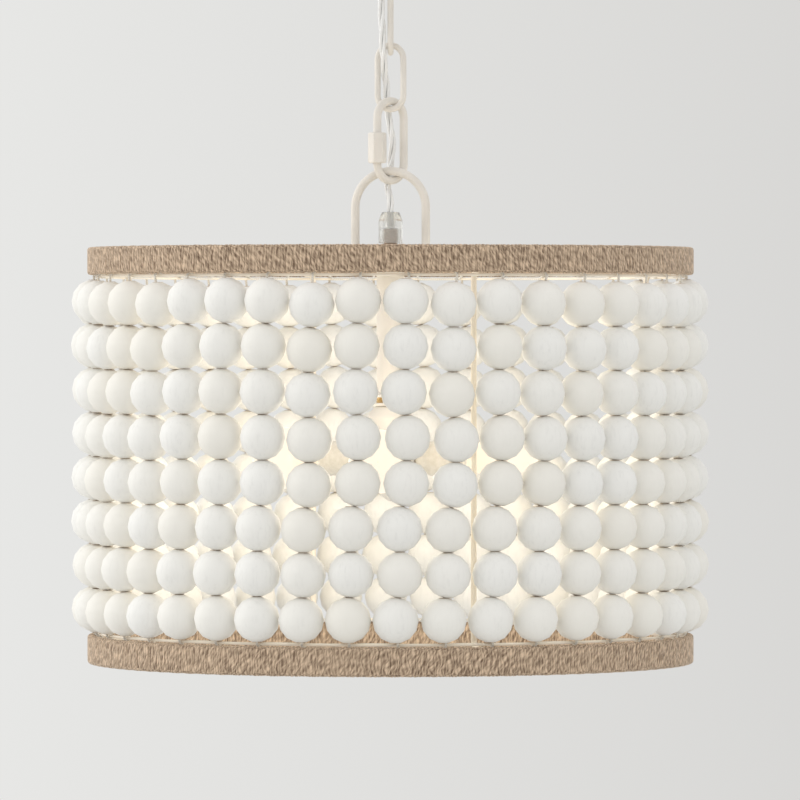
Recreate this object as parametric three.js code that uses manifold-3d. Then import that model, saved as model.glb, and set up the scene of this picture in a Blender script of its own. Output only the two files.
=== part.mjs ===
// A beaded drum chandelier: forty strings of eight turned wood beads between two jute-wound rims,
// hung by a bail, a quick link and a short chain from a ceiling canopy. Millimetres, +Z up.
// The origin is where the chandelier meets the ceiling, and everything hangs below it.
import * as THREE from "three";
import { mergeVertices } from "three/addons/utils/BufferGeometryUtils.js";
import Module from "manifold-3d";

const wasm = await Module();
wasm.setup();

// Driving dimensions: clearances
const seatGap = 0.3; // between two pieces that touch
const hangGap = 0.6; // between two crossed bars, whose curved flanks then clear each other
const runningGap = 0.4; // round a piece that slides or threads through another
const overrun = 1; // how far a cutting tool passes a face

// Driving dimensions: ceiling fitting
const crossbarEnd = 4.5; // beyond each of its two slots
const crossbarWidth = 18;
const crossbarThickness = 2.5;
const boxScrewSpacing = 88.9;
const slotLength = 12;
const slotWidth = 4.4;
const screwDiameter = 3.6;
const screwLength = 16;
const screwHeadDiameter = 7.5;
const screwHeadHeight = 2.4;
const nippleDiameter = 10;
const nippleBore = 7;
const nippleLength = 24;
const lockNutAcrossCorners = 18;
const lockNutHeight = 4;
const canopyRoom = 5.1; // from the crossbar's corners to the inside of the canopy
const canopyDepth = 24;
const canopyWall = 1.2;
const canopyRimHeight = 4;
const canopyFlatDiameter = 52;
const neckDiameter = 26;
const neckHeight = 17;
const neckInCanopy = 8;
const collarDiameter = 38;
const collarHeight = 7;
const collarBevel = 1.5;
const loopRingRadius = 10;
const loopWire = 5;
const loopSink = 1.5;

// Driving dimensions: chain, quick link and bail
const linkLength = 50.5;
const linkWidth = 25;
const linkWire = 4.6;
const quickLength = 63;
const quickWidth = 30;
const quickWire = 6;
const quickGap = 6.8; // the opening that the sleeve nut covers
const quickGapFromArc = 3; // from the foot of the straight side up to the opening
const sleeveLength = 22;
const sleeveAcrossCorners = 13.6;
const sleeveFromArc = 0.3; // from the foot of the straight side up to the sleeve
const bailHeight = 70;
const bailWidth = 58;
const bailRod = 6.3;
const loopYaw = -15; // degrees, seen from above, of each piece's own plane
const upperLinkYaw = 90;
const lowerLinkYaw = -25;
const quickYaw = 38;
const bailYaw = -12;

// Driving dimensions: cord and its grip
const cordDiameter = 5.2;
const gripDiameter = 17.2;
const gripTipDiameter = 12.6;
const gripHeight = 22.4;
const gripTaperHeight = 6;
const gripAboveSpider = 15.5;
const bushDiameter = 10.4;
const bushBore = 6.2;
const bushInGrip = 10.5;

// Driving dimensions: frame
const rimThickness = 5.3;
const rimHeight = 21;
const rimCorner = 1.8;
const windingThickness = 1.5;
const rimFromBeads = 2.15; // from the end of a bead string to the near edge of a rim
const wireRadius = 1;
const wireFromString = 0.7; // the string is that slack where it goes over the wire
const wireFromRim = 0.7;
const wireFromBeads = 1.5; // from the end of a bead string to the middle of the wire
const strutDiameter = 4;
const strutFromBeads = 0.6; // between a strut and the backs of the beads
const strutBend = 7; // radius of the bends at its ends
const strutCount = 4;
const spiderThickness = 3;
const spiderHubDiameter = 68;
const spiderArmWidth = 12;
const spiderArmShort = 5; // how far an arm stops short of the wire that carries the beads

// Driving dimensions: beads and their string
const beadDiameter = 32;
const beadFlats = 0.525; // what the flats at a bead's two ends take off its height
const columnGap = 1.395; // between the widest parts of two beads side by side
const beadsPerColumn = 8;
const columnCount = 40;
const beadShoulderShare = 0.42; // of a bead's radius, from its middle to each shoulder
const beadGirthShare = 0.97; // of a bead's radius, the radius of its shoulders
const stringRadius = 0.9;
const firstColumnAngle = 2.45; // degrees to the right of the side that faces the viewer
const strutAngle = 17.3; // degrees, measured the same way

// Driving dimensions: stem and light cluster
const stemDiameter = 20;
const stemBore = 12;
const stemLength = 97.7;
const checkRingDiameter = 26;
const checkRingHeight = 2;
const checkRingGap = 4;
const hubDiameter = 34;
const hubHeight = 50;
const hubNeckDiameter = 22;
const hubShoulderHeight = 8;
const bulbDrop = 38; // from the top of the hub to the bulbs' axes
const socketDiameter = 26;
const socketNeckDiameter = 14;
const socketLength = 38;
const socketNeckLength = 8;
const socketFlare = 6;
const socketBoreDepth = 20;
const bulbBaseDiameter = 12;
const bulbBaseLength = 18;
const bulbNeckDiameter = 17;
const bulbGlobeDiameter = 45;
const bulbLength = 78;
const bulbSeat = 3; // between the bulb's tip and the bottom of the socket
const nearBulbAngle = -4.3; // degrees to the right of the side that faces the viewer
const bulbCount = 3;
const finialDiameter = 16;
const finialHeight = 18;
const finialWaistDiameter = 7;
const knobShares = { // of the finial's height, from its foot
  tip: 0.11,
  lowShoulder: 0.33,
  highShoulder: 0.5,
  waistFoot: 0.67,
  waistTop: 0.83,
};

// How finely round shapes are cut
const rimSegments = 32;
const wireSegments = 40;
const barSides = 8;
const strutSides = 5;
const beadSides = 5;
const nutSides = 6;
const stringSides = 3;
const linkArcSteps = 6;
const bailArcSteps = 10;
const strutBendSteps = 2;
const hubArcSteps = 4;
const globeSteps = 5;
const canopyShoulderSteps = 3;
const turnedSegments = 10;
const neckSegments = 16;
const canopySegments = 20;
const cordStepLength = 10.4;
const mergeDistance = 1e-4; // corners closer than this are one corner

// The route of the cord, from the ceiling to the grip. Each point's third number counts down the
// levels of cordLevels, so that 4.35 is a third of the way from the fifth level to the sixth.
const cordRoute = [
  [0, 0, 0.06],
  [0, 0, 0.42],
  [0, 0, 0.85],
  [0, 0, 1.24],
  [-1.8, -1.6, 1.43],
  [-5, -5.8, 1.71],
  [-6.8, -8.8, 2],
  [-6.8, -9.8, 2.23],
  [-6.2, -10, 2.51],
  [-5.8, -9, 2.85],
  [-5.4, -7.4, 3.05],
  [-5, -4.8, 3.22],
  [-4.5, -1.4, 3.37],
  [-3.9, 2.6, 3.52],
  [-3.2, 6.2, 3.7],
  [-2.6, 8, 3.97],
  [-2, 7.8, 4.15],
  [0.2, 6.6, 4.35],
  [1.2, 6, 4.54],
  [0.4, 7, 4.75],
  [-1.4, 7.8, 4.92],
  [-1.6, 7.2, 5.21],
  [-0.8, 3.6, 5.52],
  [0, 0.5, 5.74],
  [0, 0, 5.92],
  [0, 0, 6.44],
  [0, 0, 6.86],
];
const cordCutShares = [0.159, 0.325, 0.52, 0.722]; // of its length

const turn = 2 * Math.PI;
const degree = turn / 360;
const facingViewer = -turn / 4;
const globeStartAngle = -turn / 8; // below the widest part of a bulb's globe

// The ceiling fitting, worked out from the spacing of a ceiling box's screws
const crossbarLength = boxScrewSpacing + slotLength + 2 * crossbarEnd;
const crossbarReach = Math.hypot(crossbarLength, crossbarWidth) / 2;
const canopyRadius = crossbarReach + canopyRoom + canopyWall;

// The drum, worked out from its beads
const columnStep = turn / columnCount;
const beadCircleRadius = (beadDiameter + columnGap) / columnStep;
const stringOverWire = wireRadius + stringRadius + wireFromString;
const wireCircleRadius = beadCircleRadius - stringOverWire;
const rimInnerRadius = wireCircleRadius + wireRadius + wireFromRim;
const rimOuterRadius = rimInnerRadius + rimThickness;
const hoopInnerRadius = rimInnerRadius + windingThickness + seatGap;
const hoopOuterRadius = rimOuterRadius - windingThickness - seatGap;
const strutOffset = beadDiameter / 2 + strutFromBeads + strutDiameter / 2;
const strutCircleRadius = beadCircleRadius - strutOffset;
const strutAzimuth = facingViewer + strutAngle * degree;
const beadPitch = beadDiameter - beadFlats;

// Heights, worked out from the ceiling down
const canopyFootZ = -canopyDepth;
const neckTopZ = canopyFootZ + neckInCanopy;
const neckFootZ = neckTopZ - neckHeight;
const loopCentreZ = neckFootZ - loopRingRadius - loopWire / 2 + loopSink;
const loopBarZ = loopCentreZ - loopRingRadius;
const upperLinkTopZ = loopBarZ + loopWire / 2 + hangGap + linkWire / 2;
const linkSpan = linkLength - linkWire;
const lowerLinkTopZ = upperLinkTopZ - linkSpan + linkWire + hangGap;
const quickTopZ = lowerLinkTopZ - linkSpan + linkWire / 2 + hangGap + quickWire / 2;
const quickSpan = quickLength - quickWire;
const quickBottomZ = quickTopZ - quickSpan;
const bailTopZ = quickBottomZ + quickWire / 2 + hangGap + bailRod / 2;
const bailFootZ = bailTopZ + bailRod / 2 - bailHeight;
const spiderTopZ = bailFootZ - seatGap;
const spiderFootZ = spiderTopZ - spiderThickness;
const strutTopZ = spiderFootZ - seatGap - strutDiameter / 2;
const topWireZ = strutTopZ - strutDiameter / 2 - seatGap - wireRadius;
const beadTopZ = topWireZ - wireFromBeads;
const beadFootZ = beadTopZ - beadPitch * beadsPerColumn;
const bottomWireZ = beadFootZ - wireFromBeads;
const strutFootZ = bottomWireZ - wireRadius - seatGap - strutDiameter / 2;
const topRimEdgeZ = beadTopZ + rimFromBeads;
const bottomRimEdgeZ = beadFootZ - rimFromBeads;
const stemTopZ = spiderFootZ - seatGap;
const stemFootZ = stemTopZ - stemLength;
const hubTopZ = stemFootZ - seatGap;
const hubFootZ = hubTopZ - hubHeight;
const bulbZ = hubTopZ - bulbDrop;
const finialTopZ = hubFootZ - seatGap;
const gripFootZ = spiderTopZ + gripAboveSpider;
const gripTopZ = gripFootZ + gripHeight;
const bushTopZ = gripFootZ + bushInGrip;
const cordLevels = [
  0,
  neckFootZ,
  loopBarZ,
  lowerLinkTopZ,
  quickTopZ,
  quickBottomZ,
  gripTopZ,
  bushTopZ,
];

// Materials
const paint = new THREE.MeshStandardMaterial({ color: 0xe6dcc8, roughness: 0.45, metalness: 0.1 });
const steel = new THREE.MeshStandardMaterial({ color: 0xb4b6b8, roughness: 0.35, metalness: 0.9 });
const darkSteel = new THREE.MeshStandardMaterial({ color: 0x5a5852, roughness: 0.45, metalness: 0.8 });
const jute = new THREE.MeshStandardMaterial({ color: 0xa88b6c, roughness: 0.95, metalness: 0 });
const paintedWood = new THREE.MeshStandardMaterial({ color: 0xe4e2dc, roughness: 0.7, metalness: 0 });
const clearPlastic = new THREE.MeshStandardMaterial({ color: 0xd9dcda, roughness: 0.2, metalness: 0 });
const shell = new THREE.MeshStandardMaterial({ color: 0xe9e3d4, roughness: 0.6, metalness: 0 });
const glass = new THREE.MeshStandardMaterial({ color: 0xfff3d8, roughness: 0.25, metalness: 0 });

const model = new THREE.Group();

function add(name, geometry, material, yaw = 0) {
  const mesh = new THREE.Mesh(geometry, material);
  mesh.name = name;
  mesh.rotation.z = yaw;
  model.add(mesh);
  return mesh;
}

// Manifold joins and cuts take closed meshes whose shared corners are merged
function toSolid(geometry) {
  const bare = geometry.clone();
  bare.deleteAttribute("normal");
  bare.deleteAttribute("uv");
  const merged = mergeVertices(bare, mergeDistance);
  return new wasm.Manifold(new wasm.Mesh({
    numProp: 3,
    vertProperties: new Float32Array(merged.attributes.position.array),
    triVerts: new Uint32Array(merged.index.array),
  }));
}

function toGeometry(solid) {
  const mesh = solid.getMesh();
  const geometry = new THREE.BufferGeometry();
  geometry.setAttribute("position", new THREE.BufferAttribute(mesh.vertProperties, 3));
  geometry.setIndex(new THREE.BufferAttribute(mesh.triVerts, 1));
  return geometry;
}

// A profile of [radius, height] points turned about the Z axis
function revolve(profile, segments, startAngle = 0) {
  const points = profile.map(([radius, height]) => new THREE.Vector2(radius, height));
  const geometry = new THREE.LatheGeometry(points, segments);
  geometry.rotateX(turn / 4);
  geometry.rotateZ(startAngle);
  return geometry;
}

// The same for a profile that closes on itself, as a ring's section does
function revolveRing(section, segments, startAngle = 0) {
  return revolve([...section, section[0]], segments, startAngle);
}

function tubeProfile(innerRadius, outerRadius, lowZ, highZ) {
  return [
    [innerRadius, lowZ],
    [outerRadius, lowZ],
    [outerRadius, highZ],
    [innerRadius, highZ],
  ];
}

function polygonShape(radius, sides) {
  const shape = new THREE.Shape();
  for (let i = 0; i < sides; i++) {
    const angle = (turn * (i + 0.5)) / sides;
    const x = radius * Math.cos(angle);
    const y = radius * Math.sin(angle);
    if (i === 0) shape.moveTo(x, y);
    else shape.lineTo(x, y);
  }
  shape.closePath();
  return shape;
}

// A round bar that follows a curve from end to end
function bar(curve, radius, sides, steps) {
  return new THREE.ExtrudeGeometry(polygonShape(radius, sides), {
    extrudePath: curve,
    steps,
    bevelEnabled: false,
  });
}

function arcPoints(centreX, centreZ, radius, fromAngle, toAngle, steps) {
  const points = [];
  for (let i = 0; i <= steps; i++) {
    const angle = fromAngle + ((toAngle - fromAngle) * i) / steps;
    points.push(new THREE.Vector3(
      centreX + radius * Math.cos(angle),
      0,
      centreZ + radius * Math.sin(angle),
    ));
  }
  return points;
}

// Joins cross-sections, each a ring of corners, into one closed skin. A ring may have twice as
// many corners as its neighbour, which lets a thin string swell into a bead.
function loft(rings, closed) {
  const positions = rings.flat().flatMap((corner) => corner.toArray());
  const starts = [];
  let count = 0;
  for (const ring of rings) {
    starts.push(count);
    count += ring.length;
  }
  const index = [];
  const pairs = closed ? rings.length : rings.length - 1;
  for (let k = 0; k < pairs; k++) {
    const next = (k + 1) % rings.length;
    stitch(index, starts[k], rings[k].length, starts[next], rings[next].length);
  }
  if (!closed) {
    const last = rings.length - 1;
    cap(index, starts[0], rings[0].length, false);
    cap(index, starts[last], rings[last].length, true);
  }
  const geometry = new THREE.BufferGeometry();
  geometry.setAttribute("position", new THREE.Float32BufferAttribute(positions, 3));
  geometry.setIndex(index);
  return geometry;
}

// Closes an end with a fan of triangles that face along the bar, or back along it
function cap(index, start, count, facesForward) {
  for (let i = 1; i < count - 1; i++) {
    const near = start + i;
    const far = start + i + 1;
    if (facesForward) index.push(start, near, far);
    else index.push(start, far, near);
  }
}

// The band of triangles between two rings of corners
function stitch(index, low, lowCount, high, highCount) {
  const steps = Math.max(lowCount, highCount);
  const lowEvery = steps / lowCount;
  const highEvery = steps / highCount;
  for (let i = 0; i < steps; i++) {
    const a = low + Math.round(i / lowEvery) % lowCount;
    const b = low + Math.round((i + 1) / lowEvery) % lowCount;
    const c = high + Math.round(i / highEvery) % highCount;
    const d = high + Math.round((i + 1) / highEvery) % highCount;
    if (a !== b) index.push(a, b, d);
    if (c !== d) index.push(a, d, c);
  }
}

// A closed bar whose centre line lies in the XZ plane, given in order round the loop
function closedBar(centres, radius, sides) {
  const rings = centres.map((centre, k) => {
    const before = centres[(k + centres.length - 1) % centres.length];
    const after = centres[(k + 1) % centres.length];
    const along = after.clone().sub(before).normalize();
    const across = new THREE.Vector3(along.z, 0, -along.x);
    const side = new THREE.Vector3(0, 1, 0);
    const ring = [];
    for (let i = 0; i < sides; i++) {
      const angle = (turn * (i + 0.5)) / sides;
      const out = across.clone().multiplyScalar(radius * Math.cos(angle));
      ring.push(centre.clone().add(out).addScaledVector(side, radius * Math.sin(angle)));
    }
    return ring;
  });
  return loft(rings, true);
}

// Ceiling fitting

function makeCrossbar() {
  const plate = new THREE.BoxGeometry(crossbarLength, crossbarWidth, crossbarThickness);
  plate.translate(0, 0, -crossbarThickness / 2);
  let solid = toSolid(plate);
  const hole = new THREE.CylinderGeometry(
    nippleDiameter / 2 + seatGap,
    nippleDiameter / 2 + seatGap,
    crossbarThickness + 2 * overrun,
    turnedSegments,
  );
  hole.rotateX(turn / 4);
  hole.translate(0, 0, -crossbarThickness / 2);
  solid = solid.subtract(toSolid(hole));
  for (const side of [-1, 1]) {
    const slot = new THREE.BoxGeometry(slotLength, slotWidth, crossbarThickness + 2 * overrun);
    slot.translate((side * boxScrewSpacing) / 2, 0, -crossbarThickness / 2);
    solid = solid.subtract(toSolid(slot));
  }
  return toGeometry(solid);
}

function makeScrew(side) {
  const headTop = -crossbarThickness - seatGap;
  const profile = [
    [0, headTop - screwHeadHeight],
    [screwHeadDiameter / 2, headTop - screwHeadHeight],
    [screwHeadDiameter / 2, headTop],
    [screwDiameter / 2, headTop],
    [screwDiameter / 2, headTop + screwLength],
    [0, headTop + screwLength],
  ];
  const screw = revolve(profile, barSides);
  screw.translate((side * boxScrewSpacing) / 2, 0, 0);
  return screw;
}

function makeNipple() {
  const section = tubeProfile(nippleBore / 2, nippleDiameter / 2, -nippleLength, 0);
  return revolveRing(section, turnedSegments);
}

function makeLockNut() {
  const topZ = -crossbarThickness - seatGap;
  const inner = nippleDiameter / 2 + seatGap;
  const blank = new THREE.CylinderGeometry(
    lockNutAcrossCorners / 2,
    lockNutAcrossCorners / 2,
    lockNutHeight,
    nutSides,
  );
  blank.rotateX(turn / 4);
  blank.translate(0, 0, topZ - lockNutHeight / 2);
  const hole = new THREE.CylinderGeometry(inner, inner, lockNutHeight + 2 * overrun, turnedSegments);
  hole.rotateX(turn / 4);
  hole.translate(0, 0, topZ - lockNutHeight / 2);
  return toGeometry(toSolid(blank).subtract(toSolid(hole)));
}

// A shallow dome: a short upright rim, a quarter-ellipse shoulder and a flat foot with a hole
function makeCanopy() {
  const flatRadius = canopyFlatDiameter / 2;
  const holeRadius = neckDiameter / 2 + runningGap;
  const outer = [[canopyRadius, 0]];
  const inner = [[canopyRadius - canopyWall, 0]];
  for (let i = 0; i <= canopyShoulderSteps; i++) {
    const angle = ((turn / 4) * i) / canopyShoulderSteps;
    const across = Math.cos(angle);
    const down = Math.sin(angle);
    outer.push([
      flatRadius + (canopyRadius - flatRadius) * across,
      -canopyRimHeight - (canopyDepth - canopyRimHeight) * down,
    ]);
    inner.push([
      flatRadius + (canopyRadius - canopyWall - flatRadius) * across,
      -canopyRimHeight - (canopyDepth - canopyWall - canopyRimHeight) * down,
    ]);
  }
  outer.push([holeRadius, canopyFootZ]);
  inner.push([holeRadius, canopyFootZ + canopyWall]);
  return revolveRing([...outer.reverse(), ...inner], canopySegments);
}

function makeCollar() {
  const topZ = canopyFootZ - seatGap;
  const innerRadius = neckDiameter / 2 + runningGap;
  const outerRadius = collarDiameter / 2;
  const section = [
    [innerRadius, topZ - collarHeight],
    [outerRadius - collarBevel, topZ - collarHeight],
    [outerRadius, topZ - collarHeight + collarBevel],
    [outerRadius, topZ],
    [innerRadius, topZ],
  ];
  return revolveRing(section, canopySegments);
}

// The neck screws on the nipple, and the cord leaves through its bore into the ring
function makeCanopyLoop() {
  const nippleEndZ = -nippleLength - seatGap;
  const section = [
    [cordDiameter / 2 + runningGap, neckFootZ],
    [neckDiameter / 2, neckFootZ],
    [neckDiameter / 2, neckTopZ],
    [nippleDiameter / 2 + seatGap, neckTopZ],
    [nippleDiameter / 2 + seatGap, nippleEndZ],
    [cordDiameter / 2 + runningGap, nippleEndZ],
  ];
  const neck = toSolid(revolveRing(section, neckSegments));
  const centres = arcPoints(0, loopCentreZ, loopRingRadius, 0, turn, neckSegments).slice(1);
  const ring = toSolid(closedBar(centres, loopWire / 2, barSides));
  const way = new THREE.CylinderGeometry(
    cordDiameter / 2 + runningGap,
    cordDiameter / 2 + runningGap,
    2 * loopWire,
    neckSegments,
  );
  way.rotateX(turn / 4);
  way.translate(0, 0, neckFootZ);
  return toGeometry(neck.add(ring).subtract(toSolid(way)));
}

// Chain

// An oval link hangs from its top bar, whose middle is at height topZ
function makeLink(topZ) {
  const arc = (linkWidth - linkWire) / 2;
  const centres = [
    ...arcPoints(0, topZ - arc, arc, 0, turn / 2, linkArcSteps),
    ...arcPoints(0, topZ - linkSpan + arc, arc, turn / 2, turn, linkArcSteps),
  ];
  return closedBar(centres, linkWire / 2, barSides);
}

// The quick link is an open bar whose two ends face each other on the left side
function makeQuickLink() {
  const arc = (quickWidth - quickWire) / 2;
  const lowArcZ = quickBottomZ + arc;
  const points = [
    new THREE.Vector3(-arc, 0, lowArcZ + quickGapFromArc + quickGap),
    ...arcPoints(0, quickTopZ - arc, arc, turn / 2, 0, linkArcSteps),
    ...arcPoints(0, lowArcZ, arc, 0, -turn / 2, linkArcSteps),
    new THREE.Vector3(-arc, 0, lowArcZ + quickGapFromArc),
  ];
  return openBar(points, quickWire / 2, barSides);
}

function makeSleeveNut() {
  const arc = (quickWidth - quickWire) / 2;
  const middleZ = quickBottomZ + arc + sleeveFromArc + sleeveLength / 2;
  const blank = new THREE.CylinderGeometry(
    sleeveAcrossCorners / 2,
    sleeveAcrossCorners / 2,
    sleeveLength,
    nutSides,
  );
  const holeRadius = quickWire / 2 + seatGap;
  const hole = new THREE.CylinderGeometry(holeRadius, holeRadius, sleeveLength + 2 * overrun, barSides);
  const nut = toGeometry(toSolid(blank).subtract(toSolid(hole)));
  nut.rotateX(turn / 4);
  nut.translate(-arc, 0, middleZ);
  return nut;
}

function makeBail() {
  const arc = (bailWidth - bailRod) / 2;
  const points = [
    new THREE.Vector3(-arc, 0, bailFootZ),
    ...arcPoints(0, bailTopZ - arc, arc, turn / 2, 0, bailArcSteps),
    new THREE.Vector3(arc, 0, bailFootZ),
  ];
  return openBar(points, bailRod / 2, barSides);
}

// An open bar through the points of a line, mitred at each of them
function openBar(points, radius, sides) {
  const alike = (value) => points.map(() => value);
  return loft(sweptRings(points, alike(radius), alike(sides), alike(0)), false);
}

// Rings of corners square to a line, each carried on from the one before without a twist
function sweptRings(points, radii, counts, shifts) {
  const last = points.length - 1;
  const tangents = points.map((point, k) => {
    const before = points[Math.max(k - 1, 0)];
    const after = points[Math.min(k + 1, last)];
    const incoming = point.clone().sub(before).normalize();
    const outgoing = after.clone().sub(point).normalize();
    return incoming.add(outgoing).normalize();
  });
  const normal = new THREE.Vector3();
  const startsAlongY = Math.abs(tangents[0].y) > Math.SQRT1_2;
  const reference = startsAlongY ? new THREE.Vector3(0, 0, 1) : new THREE.Vector3(0, 1, 0);
  normal.crossVectors(reference, tangents[0]).normalize();
  return points.map((point, k) => {
    if (k > 0) {
      normal.applyQuaternion(new THREE.Quaternion().setFromUnitVectors(tangents[k - 1], tangents[k]));
    }
    const side = new THREE.Vector3().crossVectors(tangents[k], normal);
    const ring = [];
    for (let i = 0; i < counts[k]; i++) {
      const angle = (turn * (i + shifts[k])) / counts[k];
      const corner = point.clone().addScaledVector(normal, radii[k] * Math.cos(angle));
      ring.push(corner.addScaledVector(side, radii[k] * Math.sin(angle)));
    }
    return ring;
  });
}

// Cord

function cordPoint([x, y, level]) {
  const above = Math.floor(level);
  const share = level - above;
  const z = cordLevels[above] * (1 - share) + cordLevels[above + 1] * share;
  return new THREE.Vector3(x, y, z);
}

const cordCurve = new THREE.CatmullRomCurve3(cordRoute.map(cordPoint), false, "centripetal");

// The part of the cord between two shares of its length
class CordStretch extends THREE.Curve {
  constructor(fromShare, toShare) {
    super();
    this.fromShare = fromShare;
    this.toShare = toShare;
  }

  getPoint(share, target) {
    return cordCurve.getPointAt(this.fromShare + (this.toShare - this.fromShare) * share, target);
  }
}

function makeCord(stretch) {
  const endShare = seatGap / 2 / cordCurve.getLength();
  const fromShare = stretch === 0 ? 0 : cordCutShares[stretch - 1] + endShare;
  const toShare = stretch === cordCutShares.length ? 1 : cordCutShares[stretch] - endShare;
  const length = (toShare - fromShare) * cordCurve.getLength();
  const steps = Math.ceil(length / cordStepLength);
  return bar(new CordStretch(fromShare, toShare), cordDiameter / 2, barSides, steps);
}

function makeGrip() {
  const bushRadius = bushDiameter / 2 + seatGap;
  const cordRadius = cordDiameter / 2 + runningGap;
  const pocketTopZ = bushTopZ + seatGap;
  const section = [
    [bushRadius, gripFootZ],
    [gripDiameter / 2, gripFootZ],
    [gripDiameter / 2, gripTopZ - gripTaperHeight],
    [gripTipDiameter / 2, gripTopZ],
    [cordRadius, gripTopZ],
    [cordRadius, pocketTopZ],
    [bushRadius, pocketTopZ],
  ];
  return revolveRing(section, turnedSegments);
}

function makeBush() {
  const footZ = spiderTopZ + seatGap;
  const section = tubeProfile(bushBore / 2, bushDiameter / 2, footZ, bushTopZ);
  return revolveRing(section, turnedSegments);
}

// Frame

// One flat plate: a round hub with a wiring hole and four arms that lie on the struts
function makeSpider() {
  const hubRadius = spiderHubDiameter / 2;
  const armEnd = wireCircleRadius - spiderArmShort;
  const half = spiderArmWidth / 2;
  const root = Math.asin(half / hubRadius);
  const shape = new THREE.Shape();
  const armStep = turn / strutCount;
  for (let arm = 0; arm < strutCount; arm++) {
    const angle = armStep * arm;
    const along = new THREE.Vector2(Math.cos(angle), Math.sin(angle));
    const across = new THREE.Vector2(-Math.sin(angle), Math.cos(angle));
    const right = along.clone().multiplyScalar(armEnd).addScaledVector(across, -half);
    const left = along.clone().multiplyScalar(armEnd).addScaledVector(across, half);
    if (arm === 0) shape.moveTo(right.x, right.y);
    else shape.lineTo(right.x, right.y);
    shape.lineTo(left.x, left.y);
    for (let i = 0; i <= hubArcSteps; i++) {
      const at = angle + root + ((armStep - 2 * root) * i) / hubArcSteps;
      shape.lineTo(hubRadius * Math.cos(at), hubRadius * Math.sin(at));
    }
  }
  shape.closePath();
  const hole = new THREE.Path();
  for (let i = 0; i < turnedSegments; i++) {
    const at = (-turn * i) / turnedSegments;
    const x = (bushBore / 2) * Math.cos(at);
    const y = (bushBore / 2) * Math.sin(at);
    if (i === 0) hole.moveTo(x, y);
    else hole.lineTo(x, y);
  }
  hole.closePath();
  shape.holes.push(hole);
  const plate = new THREE.ExtrudeGeometry(shape, { depth: spiderThickness, bevelEnabled: false });
  plate.translate(0, 0, spiderFootZ);
  return plate;
}

// A strut stands behind the beads, and both its ends turn out to the hoops. Each end meets a
// hoop at one of its corners, whose two faces fall away to either side.
function makeStrut() {
  const cornerFall = (strutDiameter / 2) * Math.tan(turn / 2 / rimSegments);
  const endRadius = hoopInnerRadius - cornerFall - seatGap;
  const bendCentre = strutCircleRadius + strutBend;
  const highZ = strutTopZ - strutBend;
  const lowZ = strutFootZ + strutBend;
  const points = [
    new THREE.Vector3(endRadius, 0, strutTopZ),
    ...arcPoints(bendCentre, highZ, strutBend, turn / 4, turn / 2, strutBendSteps),
    ...arcPoints(bendCentre, lowZ, strutBend, turn / 2, (3 * turn) / 4, strutBendSteps),
    new THREE.Vector3(endRadius, 0, strutFootZ),
  ];
  return openBar(points, strutDiameter / 2, strutSides);
}

// The hoops and windings are drawn as heights above a rim's near edge, the edge that faces the
// beads, and the lower rim is the upper one turned over
function rimRing(section, edgeZ, upward) {
  const placed = section.map(([radius, height]) => [radius, edgeZ + upward * height]);
  return revolveRing(upward > 0 ? placed : placed.reverse(), rimSegments, strutAzimuth);
}

function makeHoop(edgeZ, upward) {
  const low = windingThickness + seatGap;
  const high = rimHeight - windingThickness - seatGap;
  return rimRing(tubeProfile(hoopInnerRadius, hoopOuterRadius, low, high), edgeZ, upward);
}

// The winding leaves its inner near corner open, where struts and strings pass
function makeWinding(edgeZ, upward) {
  const mouthRadius = rimOuterRadius - rimCorner - seatGap;
  const mouthHeight = strutDiameter + wireRadius;
  const wall = windingThickness;
  const section = [
    [rimInnerRadius, mouthHeight],
    [rimInnerRadius + wall, mouthHeight],
    [rimInnerRadius + wall, rimHeight - wall],
    [rimOuterRadius - wall, rimHeight - wall],
    [rimOuterRadius - wall, wall],
    [mouthRadius, wall],
    [mouthRadius, 0],
    [rimOuterRadius - rimCorner, 0],
    [rimOuterRadius, rimCorner],
    [rimOuterRadius, rimHeight - rimCorner],
    [rimOuterRadius - rimCorner, rimHeight],
    [rimInnerRadius, rimHeight],
  ];
  return rimRing(section, edgeZ, upward);
}

function makeBeadWire(z) {
  const section = [
    [wireCircleRadius - wireRadius, z],
    [wireCircleRadius, z - wireRadius],
    [wireCircleRadius + wireRadius, z],
    [wireCircleRadius, z + wireRadius],
  ];
  const columnAzimuth = facingViewer + firstColumnAngle * degree;
  return revolveRing(section, wireSegments, columnAzimuth);
}

// Beads

function onDrum(radius, azimuth, z) {
  return new THREE.Vector3(radius * Math.cos(azimuth), radius * Math.sin(azimuth), z);
}

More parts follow.
